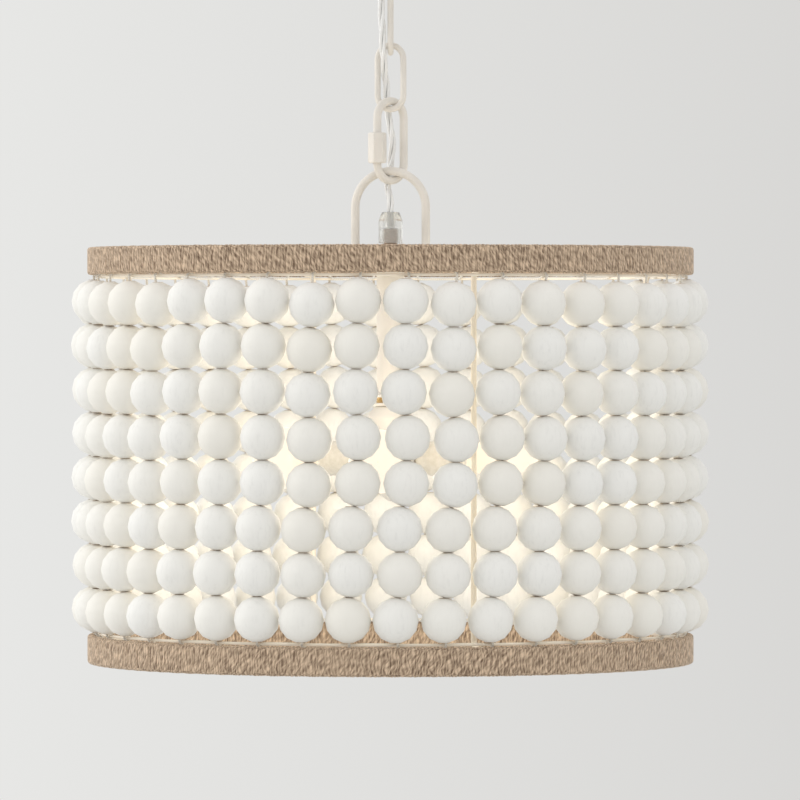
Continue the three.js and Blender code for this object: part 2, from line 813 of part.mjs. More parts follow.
// A string runs along the inside of the upper wire, over it and down through eight beads, round
// the lower wire to the next column, and up through eight more beads to the upper wire again
function makeBeadPair() {
  const points = [];
  const radii = [];
  const counts = [];
  const shifts = [];
  const behind = wireCircleRadius - stringOverWire;
  const turnAngle = (2 * stringRadius) / wireCircleRadius;
  const endAngle = columnStep - seatGap / 2 / wireCircleRadius;
  const string = (radius, azimuth, z) => {
    points.push(onDrum(radius, azimuth, z));
    radii.push(stringRadius);
    counts.push(stringSides);
    shifts.push(0);
  };
  const beadRing = (azimuth, z, shift) => {
    points.push(onDrum(beadCircleRadius, azimuth, z));
    radii.push((beadDiameter / 2) * beadGirthShare);
    counts.push(beadSides);
    shifts.push(shift);
  };
  const column = (side, down) => {
    const azimuth = (side * columnStep) / 2;
    const startZ = down ? beadTopZ : beadFootZ;
    const step = down ? -beadPitch : beadPitch;
    const shoulder = (Math.sign(step) * beadShoulderShare * beadDiameter) / 2;
    string(beadCircleRadius, azimuth, startZ);
    for (let k = 0; k < beadsPerColumn; k++) {
      const middle = startZ + step * (k + 0.5);
      beadRing(azimuth, middle - shoulder, 0);
      beadRing(azimuth, middle + shoulder, 0.5);
      string(beadCircleRadius, azimuth, startZ + step * (k + 1));
    }
  };
  const half = columnStep / 2;
  string(behind, -endAngle, topWireZ);
  string(behind, -half - turnAngle, topWireZ);
  string(wireCircleRadius, -half, topWireZ + stringOverWire);
  string(beadCircleRadius, -half, topWireZ);
  column(-1, true);
  string(beadCircleRadius, -half, bottomWireZ);
  string(wireCircleRadius, -half, bottomWireZ - stringOverWire);
  string(behind, -half + turnAngle, bottomWireZ);
  string(behind, half - turnAngle, bottomWireZ);
  string(wireCircleRadius, half, bottomWireZ - stringOverWire);
  string(beadCircleRadius, half, bottomWireZ);
  column(1, false);
  string(beadCircleRadius, half, topWireZ);
  string(wireCircleRadius, half, topWireZ + stringOverWire);
  string(behind, half + turnAngle, topWireZ);
  string(behind, endAngle, topWireZ);
  return loft(sweptRings(points, radii, counts, shifts), false);
}

// Stem and light cluster

function makeStem() {
  const radius = stemDiameter / 2;
  const ringRadius = checkRingDiameter / 2;
  const section = [
    [stemBore / 2, stemFootZ],
    [ringRadius, stemFootZ],
    [ringRadius, stemFootZ + checkRingHeight],
    [radius, stemFootZ + checkRingHeight],
    [radius, stemFootZ + checkRingHeight + checkRingGap],
    [ringRadius, stemFootZ + checkRingHeight + checkRingGap],
    [ringRadius, stemFootZ + 2 * checkRingHeight + checkRingGap],
    [radius, stemFootZ + 2 * checkRingHeight + checkRingGap],
    [radius, stemTopZ],
    [stemBore / 2, stemTopZ],
  ];
  return revolveRing(section, turnedSegments);
}

function makeClusterHub() {
  const profile = [
    [0, hubFootZ],
    [hubDiameter / 2, hubFootZ],
    [hubDiameter / 2, hubTopZ - hubShoulderHeight],
    [hubNeckDiameter / 2, hubTopZ],
    [0, hubTopZ],
  ];
  return revolve(profile, turnedSegments);
}

function makeFinial() {
  const radius = finialDiameter / 2;
  const waist = finialWaistDiameter / 2;
  const footZ = finialTopZ - finialHeight;
  const profile = [
    [0, footZ],
    [waist, footZ + finialHeight * knobShares.tip],
    [radius, footZ + finialHeight * knobShares.lowShoulder],
    [radius, footZ + finialHeight * knobShares.highShoulder],
    [waist, footZ + finialHeight * knobShares.waistFoot],
    [waist, footZ + finialHeight * knobShares.waistTop],
    [radius, finialTopZ],
    [0, finialTopZ],
  ];
  return revolve(profile, barSides);
}

// Sockets and bulbs are turned about Z with their inner end at zero, then laid along the arm
function layOut(geometry, distance) {
  geometry.rotateY(turn / 4);
  geometry.translate(distance, 0, bulbZ);
  return geometry;
}

function makeSocket() {
  const outer = socketDiameter / 2;
  const neck = socketNeckDiameter / 2;
  const bore = bulbBaseDiameter / 2 + runningGap;
  const boreEnd = socketLength - socketBoreDepth;
  const profile = [
    [0, 0],
    [neck, 0],
    [neck, socketNeckLength],
    [outer, socketNeckLength + socketFlare],
    [outer, socketLength],
    [bore, socketLength],
    [bore, boreEnd],
    [0, boreEnd],
  ];
  return layOut(revolve(profile, turnedSegments), hubDiameter / 2 + seatGap);
}

function makeBulb() {
  const base = bulbBaseDiameter / 2;
  const neck = bulbNeckDiameter / 2;
  const globe = bulbGlobeDiameter / 2;
  const middle = bulbLength - globe;
  const profile = [
    [0, 0],
    [base, 0],
    [base, bulbBaseLength],
    [neck, bulbBaseLength + base],
  ];
  for (let i = 0; i <= globeSteps; i++) {
    const angle = globeStartAngle + ((turn / 4 - globeStartAngle) * i) / globeSteps;
    const radius = i === globeSteps ? 0 : globe * Math.cos(angle);
    profile.push([radius, middle + globe * Math.sin(angle)]);
  }
  const socketFloor = hubDiameter / 2 + seatGap + socketLength - socketBoreDepth;
  return layOut(revolve(profile, turnedSegments), socketFloor + bulbSeat);
}

add("crossbar", makeCrossbar(), steel);
add("crossbar_screw_left", makeScrew(-1), steel);
add("crossbar_screw_right", makeScrew(1), steel);
add("threaded_nipple", makeNipple(), steel);
add("lock_nut", makeLockNut(), steel);
add("canopy", makeCanopy(), paint);
add("canopy_collar", makeCollar(), paint);
add("canopy_loop", makeCanopyLoop(), paint, loopYaw * degree);
add("upper_link", makeLink(upperLinkTopZ), paint, upperLinkYaw * degree);
add("lower_link", makeLink(lowerLinkTopZ), paint, lowerLinkYaw * degree);
add("quick_link", makeQuickLink(), paint, quickYaw * degree);
add("quick_link_sleeve", makeSleeveNut(), paint, quickYaw * degree);
add("hanging_bail", makeBail(), paint, bailYaw * degree);

["cord_feed", "cord_upper", "cord_middle", "cord_lower", "cord_tail"].forEach((name, stretch) => {
  add(name, makeCord(stretch), clearPlastic);
});
add("cord_grip", makeGrip(), clearPlastic);
add("grip_bush", makeBush(), darkSteel);

add("top_spider", makeSpider(), paint, strutAzimuth);
add("top_hoop", makeHoop(topRimEdgeZ, 1), darkSteel);
add("bottom_hoop", makeHoop(bottomRimEdgeZ, -1), darkSteel);
add("top_jute_winding", makeWinding(topRimEdgeZ, 1), jute);
add("bottom_jute_winding", makeWinding(bottomRimEdgeZ, -1), jute);
add("top_bead_wire", makeBeadWire(topWireZ), paint);
add("bottom_bead_wire", makeBeadWire(bottomWireZ), paint);
for (let i = 0; i < strutCount; i++) {
  add(`strut_${i + 1}`, makeStrut(), paint, strutAzimuth + (turn / strutCount) * i);
}

const beadPair = makeBeadPair();
const pairCount = columnCount / 2;
const firstPairAzimuth = facingViewer + firstColumnAngle * degree + columnStep + columnStep / 2;
for (let i = 0; i < pairCount; i++) {
  const label = String(i + 1).padStart(2, "0");
  add(`bead_strings_${label}`, beadPair.clone(), paintedWood, firstPairAzimuth + 2 * columnStep * i);
}

add("stem", makeStem(), paint);
add("cluster_hub", makeClusterHub(), paint);
add("finial", makeFinial(), paint);
for (let i = 0; i < bulbCount; i++) {
  const azimuth = facingViewer + nearBulbAngle * degree + (turn / bulbCount) * i;
  add(`socket_${i + 1}`, makeSocket(), shell, azimuth);
  add(`bulb_${i + 1}`, makeBulb(), glass, azimuth);
}

export default model;
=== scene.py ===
"""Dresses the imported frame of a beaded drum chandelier. In metres, with +Z up and the viewer on
the -Y side."""

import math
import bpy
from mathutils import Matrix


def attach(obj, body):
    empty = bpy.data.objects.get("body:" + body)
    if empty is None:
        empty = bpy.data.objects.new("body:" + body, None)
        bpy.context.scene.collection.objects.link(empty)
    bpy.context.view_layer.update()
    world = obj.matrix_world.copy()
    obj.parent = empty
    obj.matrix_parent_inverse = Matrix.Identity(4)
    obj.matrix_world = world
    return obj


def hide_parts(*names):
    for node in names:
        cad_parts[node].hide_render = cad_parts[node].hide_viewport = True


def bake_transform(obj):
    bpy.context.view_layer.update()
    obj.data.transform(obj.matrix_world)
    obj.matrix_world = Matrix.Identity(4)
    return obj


bl_info = {
    "name": "Beaded Drum Chandelier",
    "version": (1, 0, 0),
    "blender": (4, 5, 0),
    "location": "3D View > Sidebar > Chandelier",
    "description": "Builds the beads, jute rims, chain, cord and lamps of a drum chandelier",
    "category": "Add Mesh",
}

import bpy
import numpy as np
from bpy.props import FloatProperty, FloatVectorProperty, IntProperty, PointerProperty

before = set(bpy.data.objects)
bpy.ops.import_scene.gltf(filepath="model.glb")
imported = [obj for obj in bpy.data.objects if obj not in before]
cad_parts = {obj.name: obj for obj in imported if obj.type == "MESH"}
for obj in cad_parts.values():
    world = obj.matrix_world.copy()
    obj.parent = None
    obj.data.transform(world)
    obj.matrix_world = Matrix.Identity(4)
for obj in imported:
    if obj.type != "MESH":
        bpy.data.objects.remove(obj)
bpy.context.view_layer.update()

TURN = 2 * math.pi
MM = 0.001
FACING_VIEWER = -TURN / 4

# Sizes of the frame in millimetres, from the ceiling down
SEAT_GAP = 0.3
HANG_GAP = 0.6
NIPPLE_RADIUS, NIPPLE_BORE, NIPPLE_LENGTH = 5, 3.5, 24
SCREW_SPACING, SCREW_RADIUS, SCREW_LENGTH = 88.9, 1.8, 16
SCREW_HEAD_RADIUS, SCREW_HEAD_HEIGHT = 3.75, 2.4
PLATE_THICKNESS = 2.5
LOCK_NUT_CORNER, LOCK_NUT_HEIGHT = 9, 4
CORD_BORE = 3.0
CANOPY_RADIUS, CANOPY_DEPTH, CANOPY_WALL, CANOPY_RIM, CANOPY_FLAT = 61.98, 24, 1.2, 4, 26
CANOPY_PLAY, CANOPY_EDGE = 0.4, 0.35
NECK_RADIUS, NECK_HEIGHT, NECK_IN_CANOPY = 13, 17, 8
COLLAR_RADIUS, COLLAR_HEIGHT, COLLAR_BEVEL = 19, 7, 1.5
RING_RADIUS, RING_WIRE, RING_SINK = 10, 2.5, 1.5
RING_ENDS = 0.29, 1.21  # in turns, both inside the neck
LINK_LENGTH, LINK_WIDTH, LINK_WIRE = 50.5, 25, 2.3
QUICK_LENGTH, QUICK_WIDTH, QUICK_WIRE = 63, 30, 3
QUICK_GAP, QUICK_GAP_FROM_ARC = 6.8, 3
SLEEVE_LENGTH, SLEEVE_CORNER, SLEEVE_FROM_ARC = 22, 6.8, 0.3
BAIL_HEIGHT, BAIL_WIDTH, BAIL_ROD = 70, 58, 3.15
BAR_TRIM = 0.1  # how much thinner a bar is than its solid, to swing clear of the next one
RING_YAW, UPPER_YAW, LOWER_YAW, QUICK_YAW, BAIL_YAW = -15, 90, -25, 38, -12
SPIDER_THICKNESS, SPIDER_HUB, SPIDER_ARM, SPIDER_REACH, SPIDER_BEVEL = 3, 34, 12, 205, 0.4
GRIP_RADIUS, GRIP_TIP, GRIP_HEIGHT, GRIP_TAPER, GRIP_ABOVE_SPIDER = 8.6, 6.3, 22.4, 6, 15.5
BUSH_RADIUS, BUSH_BORE, BUSH_IN_GRIP = 5.2, 3.1, 10.5
STRUT_RADIUS, STRUT_CIRCLE, STRUT_BEND, STRUT_END = 2, 194, 7, 213
BEAD_CIRCLE, WIRE_CIRCLE, WIRE_RADIUS, STRING_RADIUS = 212.6, 210, 1, 0.9
BEAD_PITCH, ROWS, COLUMNS = 31.475, 8, 40
BEAD_PLAY = 0.15  # between one bead of a string and the next
WIRE_FROM_BEADS = 1.5
RIM_INNER, RIM_OUTER, RIM_HEIGHT, RIM_WALL, RIM_FROM_BEADS = 211.7, 217, 21, 1.5, 2.15
RIM_CORNER = 1.8
RIM_PULL = 0.9  # how far the yarn is pulled in where it runs tight over a hoop's edge
STEM_RADIUS, STEM_BORE, STEM_LENGTH = 10, 6, 97.7
CHECK_RING_RADIUS, CHECK_RING_HEIGHT, CHECK_RING_GAP = 13, 2, 4
HUB_RADIUS, HUB_NECK, HUB_HEIGHT, HUB_SHOULDER = 17, 11, 50, 8
HUB_POLE, POLE = 0.4, 0.3  # the radii where turned forms end at their axis
BULB_DROP, BULB_COUNT = 38, 3
SOCKET_RADIUS, SOCKET_NECK, SOCKET_LENGTH, SOCKET_BORE_DEPTH = 13, 7, 38, 20
BULB_BASE, BULB_BASE_LENGTH, BULB_GLOBE, BULB_LENGTH = 6, 18, 22.5, 78
BULB_SEAT, SOCKET_BORE = 3, 6.4
FINIAL_RADIUS, FINIAL_HEIGHT, FINIAL_WAIST = 8, 18, 3.5
FINIAL_OUTLINE = (  # radius, and share of the height
    (0.25, 0), (FINIAL_WAIST * 0.9, 0.06), (FINIAL_RADIUS * 0.92, 0.28), (FINIAL_RADIUS, 0.42),
    (FINIAL_RADIUS * 0.86, 0.55), (FINIAL_WAIST, 0.68), (FINIAL_WAIST, 0.8),
    (FINIAL_RADIUS * 0.95, 0.94), (FINIAL_RADIUS, 1), (0.25, 1),
)
FIRST_COLUMN_ANGLE, STRUT_ANGLE, NEAR_BULB_ANGLE = 2.45, 17.3, -4.3

# Heights that follow from the sizes, from the ceiling down
NECK_TOP = -CANOPY_DEPTH + NECK_IN_CANOPY
NECK_FOOT = NECK_TOP - NECK_HEIGHT
RING_CENTRE = NECK_FOOT - RING_RADIUS - RING_WIRE + RING_SINK
RING_BAR = RING_CENTRE - RING_RADIUS
LINK_SPAN = LINK_LENGTH - 2 * LINK_WIRE
UPPER_TOP = RING_BAR + RING_WIRE + HANG_GAP + LINK_WIRE
LOWER_TOP = UPPER_TOP - LINK_SPAN + 2 * LINK_WIRE + HANG_GAP
QUICK_TOP = LOWER_TOP - LINK_SPAN + LINK_WIRE + HANG_GAP + QUICK_WIRE
QUICK_FOOT = QUICK_TOP - QUICK_LENGTH + 2 * QUICK_WIRE
BAIL_TOP = QUICK_FOOT + QUICK_WIRE + HANG_GAP + BAIL_ROD
BAIL_FOOT = BAIL_TOP + BAIL_ROD - BAIL_HEIGHT
SPIDER_TOP = BAIL_FOOT - SEAT_GAP
SPIDER_FOOT = SPIDER_TOP - SPIDER_THICKNESS
STRUT_TOP = SPIDER_FOOT - SEAT_GAP - STRUT_RADIUS
TOP_WIRE = STRUT_TOP - STRUT_RADIUS - SEAT_GAP - WIRE_RADIUS
BEAD_TOP = TOP_WIRE - WIRE_FROM_BEADS
BEAD_FOOT = BEAD_TOP - BEAD_PITCH * ROWS
BOTTOM_WIRE = BEAD_FOOT - WIRE_FROM_BEADS
STRUT_FOOT = BOTTOM_WIRE - WIRE_RADIUS - SEAT_GAP - STRUT_RADIUS
STEM_TOP = SPIDER_FOOT - SEAT_GAP
STEM_FOOT = STEM_TOP - STEM_LENGTH
HUB_TOP = STEM_FOOT - SEAT_GAP
HUB_FOOT = HUB_TOP - HUB_HEIGHT
BULB_AXIS = HUB_TOP - BULB_DROP
FINIAL_TOP = HUB_FOOT - SEAT_GAP
GRIP_FOOT = SPIDER_TOP + GRIP_ABOVE_SPIDER
GRIP_TOP = GRIP_FOOT + GRIP_HEIGHT
BUSH_TOP = GRIP_FOOT + BUSH_IN_GRIP

# Distances along a bulb's arm, from the hub's axis, and along the bulb
SOCKET_START = HUB_RADIUS + SEAT_GAP
BULB_START = SOCKET_START + SOCKET_LENGTH - SOCKET_BORE_DEPTH + BULB_SEAT
GLOBE_CENTRE = BULB_LENGTH - BULB_GLOBE

# Angles between columns and between a string's end and the next one, in radians
COLUMN_STEP = TURN / COLUMNS
STRING_END_GAP = 0.001

# Waves round a rim by which the yarn wanders and changes its thickness
WANDER_WAVES, WANDER_SHARE, THICK_WAVES = (37, 83, 141, 211, 305), 0.28, 97

# The cord's route in metres, from the ceiling to the grip, and where its stretches meet
CORD_ROUTE = np.array([
    [0, 0, -0.002], [0, 0, -0.0139], [0, 0, -0.028], [0, 0, -0.038],
    [-0.0018, -0.0016, -0.042], [-0.005, -0.0058, -0.0479], [-0.0068, -0.0088, -0.054],
    [-0.0068, -0.0098, -0.0621], [-0.0062, -0.01, -0.072], [-0.0058, -0.009, -0.084],
    [-0.0054, -0.0074, -0.0913], [-0.005, -0.0048, -0.0981], [-0.0045, -0.0014, -0.1041],
    [-0.0039, 0.0026, -0.1101], [-0.0032, 0.0062, -0.1173], [-0.0026, 0.008, -0.1281],
    [-0.002, 0.0078, -0.1379], [0.0002, 0.0066, -0.1493], [0.0012, 0.006, -0.1601],
    [0.0004, 0.007, -0.1721], [-0.0014, 0.0078, -0.1817], [-0.0016, 0.0072, -0.191],
    [-0.0008, 0.0036, -0.198], [0, 0.0005, -0.203], [0, 0, -0.207], [0, 0, -0.214],
    [0, 0, -0.219],
])
CORD_CUTS = (0.159, 0.325, 0.52, 0.722)
CORD_STEPS = 360
STRAND_GAP = 0.00002  # keeps the strands' skins apart

# The stage in metres and degrees
CAMERA_PLACE, CAMERA_TILT, CAMERA_LENS = (0.0068, -4.904, -0.2942), 0.578, 307.6
LAMP_PLACE, LAMP_TURN, LAMP_SIZE = (-2.6, 0.55, 0.35), (80, 0, -102), (1.6, 2.0)
LAMP_COLOUR = 1, 0.99, 0.97
FLOOR_RADIUS, FLOOR_LEVEL = 30.0, -5.0
BACKDROP_REACH = 0.06  # how far to each side the backdrop changes from one colour to the other

# Colours that no setting changes: the brown at the beads' flat ends, dark and light, which is
# partly bare wood and partly painted shade in the contact line between beads, and where on a bead
# it begins and is in full, as a share of half its height; metals, each with its least and most
# roughness
BARE_WOOD_AND_CONTACT_SHADE, BARE_AND_SHADED_END = ((0.46, 0.36, 0.26, 1), (0.60, 0.50, 0.39, 1)), (0.98, 0.995)
METALS = {
    "zinc_plate": ((0.62, 0.63, 0.64), 0.28, 0.42),
    "bush_metal": ((0.50, 0.37, 0.29), 0.3, 0.45),
    "hoop_steel": ((0.30, 0.29, 0.27), 0.4, 0.6),
    "bulb_base_brass": ((0.72, 0.55, 0.30), 0.25, 0.4),
}


# Settings

def number(name, description, default, **more):
    return FloatProperty(name=name, description=description, default=default, **more)


def length(name, description, default):
    return number(name, description, default, min=0, subtype="DISTANCE", unit="LENGTH",
                  precision=5)


def angle(name, description, degrees):
    return number(name, description, math.radians(degrees), subtype="ANGLE")


def power(name, description, default):
    return number(name, description, default, min=0, unit="POWER")


def colour(name, description, *value):
    return FloatVectorProperty(name=name, description=description, default=(*value, 1),
                               size=4, min=0, max=1, subtype="COLOR")


class BeadSettings(bpy.types.PropertyGroup):
    diameter: length("Bead diameter", "Width of a bead at its widest", 0.032)
    height: length("Bead height", "Height of the tallest beads between their two flat ends", 0.0313)
    spread: number("Height spread", "How much lower the beads of the shortest string are",
                   0.015, min=0, max=0.1)
    slack: length("String slack", "How far beads stray to the side of their column", 0.0028)
    twist: angle("Twist", "How far a string runs round from top to foot", 2.1)
    tilt: angle("Tilt", "How far a bead leans on its string", 2.5)
    segments: IntProperty(name="Segments", description="Faces round a bead", default=16, min=6)
    seed: IntProperty(name="Seed", description="Chooses another set of stray beads", default=7)


class RimSettings(bpy.types.PropertyGroup):
    yarn: length("Yarn width", "Width of one turn of the jute yarn", 0.0021)
    depth: length("Yarn depth", "Depth of the groove between two turns", 0.00045)
    wander: number("Wander", "How unevenly the turns lie, in yarn widths", 0.6, min=0, max=2)


class CordSettings(bpy.types.PropertyGroup):
    strand: length("Strand diameter", "Width of each of the cord's three strands", 0.0025)
    lay: length("Twist length", "Length of cord in which the strands turn once", 0.062)


class FinishSettings(bpy.types.PropertyGroup):
    paint: colour("Metal paint", "Satin paint of the chain and the frame", 0.76, 0.72, 0.66)
    # The inner paint is a lighter, warmer copy of the metal paint: painted light from the bulbs on
    # the struts and wires, which sit in shade.
    inner: colour("Inner paint", "Paint of the struts and of the wires", 0.93, 0.85, 0.72)
    wood: colour("Bead paint", "Matt paint of the beads", 0.85, 0.842, 0.812)
    # The light jute is also the painted highlight on raised fibres; the dark jute is painted shade
    # in the grooves between turns.
    jute_light: colour("Jute, light", "Raised fibres of the yarn", 0.60, 0.455, 0.325)
    jute_groove_shade: colour("Jute, dark", "Grooves between the turns", 0.13, 0.08, 0.05)
    string: colour("String", "Cotton string of the beads", 0.86, 0.82, 0.74)
    bulb: colour("Bulb glow", "Colour of the lit bulbs", 1.0, 0.90, 0.74)
    glow: number("Glow", "Brightness of the lit glass", 0.8, min=0)
    bulb_power: power("Bulb power", "Light that each bulb gives", 0.26)


class StageSettings(bpy.types.PropertyGroup):
    backdrop_left: colour("Backdrop, left", "Backdrop on the lit side", 0.80, 0.80, 0.785)
    backdrop_right: colour("Backdrop, right", "Backdrop on the far side", 0.69, 0.685, 0.67)
    ambient_left: number("Ambient light, left", "Light from all round, on its brighter side",
                         1.12, min=0)
    ambient_right: number("Ambient light, right", "Light from all round, on its darker side",
                          0.92, min=0)
    window: power("Side light", "Power of the large soft lamp", 20)


# Surfaces

def steps_round(count):
    """The angles of equal steps round a circle."""
    return TURN * np.arange(count) / count


def drum(radius, azimuth, height):
    """Points by their distance from Z, their angle round it and their height: (r cos a,
    r sin a, z)."""
    return np.stack(np.broadcast_arrays(
        radius * np.cos(azimuth), radius * np.sin(azimuth), height), -1)


def distance_run(path):
    """The length of a path up to each of its points."""
    steps = np.linalg.norm(np.diff(path, axis=0), axis=1)
    return np.concatenate([[0], np.cumsum(steps)])


def smooth(points, per_span):
    """A Catmull-Rom curve: each span is a cubic whose slope at a point is half the step between
    the point's two neighbours. The first and last points are repeated to end it."""
    points = np.asarray(points, float)
    padded = np.vstack([points[:1], points, points[-1:]])
    share = (np.arange(per_span) / per_span)[None, :, None]
    a, b, c, d = (padded[i:len(points) - 1 + i, None] for i in range(4))
    curve = 0.5 * (2 * b + (c - a) * share + (2 * a - 5 * b + 4 * c - d) * share ** 2
                   + (3 * b - a - 3 * c + d) * share ** 3)
    return np.vstack([curve.reshape(-1, 3), points[-1:]])


def directions(path, closed):
    """Unit steps along a path: the difference of each point's two neighbours."""
    if closed:
        step = np.roll(path, -1, axis=0) - np.roll(path, 1, axis=0)
    else:
        step = np.gradient(path, axis=0)
    return step / np.linalg.norm(step, axis=1, keepdims=True)


def square_frame(path, closed, reference):
    """Two unit directions square to a path: the reference with its share along the path taken
    out, and the cross product of the path's direction with that."""
    along = directions(path, closed)
    reference = np.broadcast_to(np.asarray(reference, float), along.shape)
    first = reference - (reference * along).sum(1, keepdims=True) * along
    first /= np.linalg.norm(first, axis=1, keepdims=True)
    return first, np.cross(along, first)


def swept(path, radius, sides, closed=False, reference=(0, 1, 0)):
    """A round bar: path + radius (cos v first + sin v second), over the points of the path and
    v round the bar."""
    path = np.asarray(path, float)
    first, second = square_frame(path, closed, reference)
    radius = np.broadcast_to(radius, len(path))[:, None, None]
    v = steps_round(sides)
    ring = np.cos(v)[None, :, None] * first[:, None] + np.sin(v)[None, :, None] * second[:, None]
    return path[:, None] + radius * ring


def turned(profile, segments):
    """A turned form: (r cos v, r sin v, z) over the points (r, z) of a profile and v round Z."""
    profile = np.asarray(profile, float)
    return drum(profile[:, :1], steps_round(segments), profile[:, 1:])


def yawed(points, degrees):
    """The same points turned about Z."""
    a = math.radians(degrees)
    turn = np.array([[math.cos(a), -math.sin(a), 0], [math.sin(a), math.cos(a), 0], [0, 0, 1]])
    return np.asarray(points) @ turn.T


def arc(centre_x, centre_z, radius, start, end, steps):
    """Points of a circle's arc in the XZ plane, both ends included. Angles in turns."""
    a = TURN * np.linspace(start, end, steps + 1)
    return np.stack([centre_x + radius * np.cos(a), 0 * a, centre_z + radius * np.sin(a)], axis=1)


def rounded(profile, radius, steps=4):
    """A profile of (r, z) points whose inner corners are cut by curves: each corner becomes a
    quadratic curve from a point before it to a point after it, both at most radius away."""
    profile = np.asarray(profile, float)
    before, corner, after = profile[:-2], profile[1:-1], profile[2:]
    back, on = before - corner, after - corner
    back_length = np.linalg.norm(back, axis=1, keepdims=True)
    on_length = np.linalg.norm(on, axis=1, keepdims=True)
    start = corner + back * np.minimum(radius / back_length, 0.45)
    end = corner + on * np.minimum(radius / on_length, 0.45)
    t = np.linspace(0, 1, steps + 1)[None, :, None]
    curve = ((1 - t) ** 2 * start[:, None] + 2 * t * (1 - t) * corner[:, None]
             + t ** 2 * end[:, None])
    return np.vstack([profile[:1], curve.reshape(-1, 2), profile[-1:]])


def rounded_ring(section, radius, steps=3):
    """The same for a closed section, whose first point isn't a corner that has to be cut."""
    return rounded([*section, section[0]], radius, steps)[:-1]


class Form:
    """Gathers closed surfaces, each a grid of points, and makes one mesh object of them."""

    def __init__(self):
        self.points, self.corners, self.sizes = [], [], []
        self.maps, self.finishes, self.count = [], [], 0

    def add(self, grid, loop=False, finish=0, u=None, v=None, shift=0, inward=False):
        """Adds a surface over a grid of points (along, round). It closes round, and it closes
        along where loop is set, or else ends in two flat caps. u and v are map coordinates
        along and round, with one more value than the grid where they close. With shift, the
        last points round join the first points that many steps further along. The faces look
        outward by the sign of the volume that they enclose, or inward where that is set. The
        form comes back, ready for the next call."""
        along, rounds = grid.shape[:2]
        u = np.arange(along + 1.0) if u is None else np.asarray(u, float)
        v = np.arange(rounds + 1.0) if v is None else np.asarray(v, float)
        here = np.arange(along * rounds).reshape(along, rounds)
        beside = np.roll(here, -1, axis=1)
        beside[:, -1] = np.roll(here[:, 0], -shift)
        bands = along if loop else along - 1
        quads = np.stack([
            here[:bands], np.roll(here, -1, axis=0)[:bands],
            np.roll(beside, -1, axis=0)[:bands], beside[:bands],
        ], axis=2).reshape(-1, 4)
        a, b = np.meshgrid(np.arange(bands), np.arange(rounds), indexing="ij")
        maps = np.stack([np.stack([u[a + i], v[b + j]], 2)
                         for i, j in ((0, 0), (1, 0), (1, 1), (0, 1))], axis=2).reshape(-1, 2)
        p = grid.reshape(-1, 3)
        one, two, three, four = ((p - p.mean(0))[quads[:, i]] for i in range(4))
        volume = (one * (np.cross(two, three) + np.cross(three, four))).sum()
        corners, sizes = quads.ravel(), np.full(len(quads), 4)
        if not loop:
            corners = np.concatenate([corners, here[0], here[-1][::-1]])
            sizes = np.append(sizes, [rounds, rounds])
            maps = np.vstack([maps, np.zeros((2 * rounds, 2))])
        if (volume < 0) != inward:
            corners, sizes, maps = corners[::-1], sizes[::-1], maps[::-1]
        self.points.append(p)
        self.corners.append(corners + self.count)
        self.sizes.append(sizes)
        self.maps.append(maps)
        self.finishes.append(np.full(len(sizes), finish))
        self.count += len(p)
        return self

    def make(self, name, finishes, sharp=35, attributes=None):
        """Makes the mesh object. Edges sharper than the given angle stay sharp."""
        mesh = bpy.data.meshes.new(name)
        points, corners = np.vstack(self.points), np.concatenate(self.corners)
        sizes = np.concatenate(self.sizes)
        mesh.vertices.add(len(points))
        mesh.loops.add(len(corners))
        mesh.polygons.add(len(sizes))
        mesh.vertices.foreach_set("co", points.ravel())
        mesh.loops.foreach_set("vertex_index", corners.astype(np.int32))
        mesh.polygons.foreach_set("loop_start", (np.cumsum(sizes) - sizes).astype(np.int32))
        mesh.polygons.foreach_set("material_index", np.concatenate(self.finishes).astype(np.int32))
        mesh.polygons.foreach_set("use_smooth", np.ones(len(sizes), bool))
        mesh.update(calc_edges=True)
        layer = mesh.uv_layers.new(name="surface")
        layer.data.foreach_set("uv", np.vstack(self.maps).ravel())
        for key, values in (attributes or {}).items():
            kind = "FLOAT" if values.ndim == 1 else "FLOAT_VECTOR"
            field = mesh.attributes.new(key, kind, "POINT")
            field.data.foreach_set("value" if values.ndim == 1 else "vector", values.ravel())
        mesh.set_sharp_from_angle(angle=math.radians(sharp))
        mesh.validate()
        for finish in finishes:
            mesh.materials.append(finish)
        return placed(name, mesh)

    def settle(self, name, finishes, body, slot, *nodes, **options):
        """Makes the object and hands it to the frame: its body and what it stands for. The finish
        slot is not used."""
        piece = self.make(name, finishes, **options)
        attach(piece, body)
        if nodes:
            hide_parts(*nodes)
        return piece


# Finishes

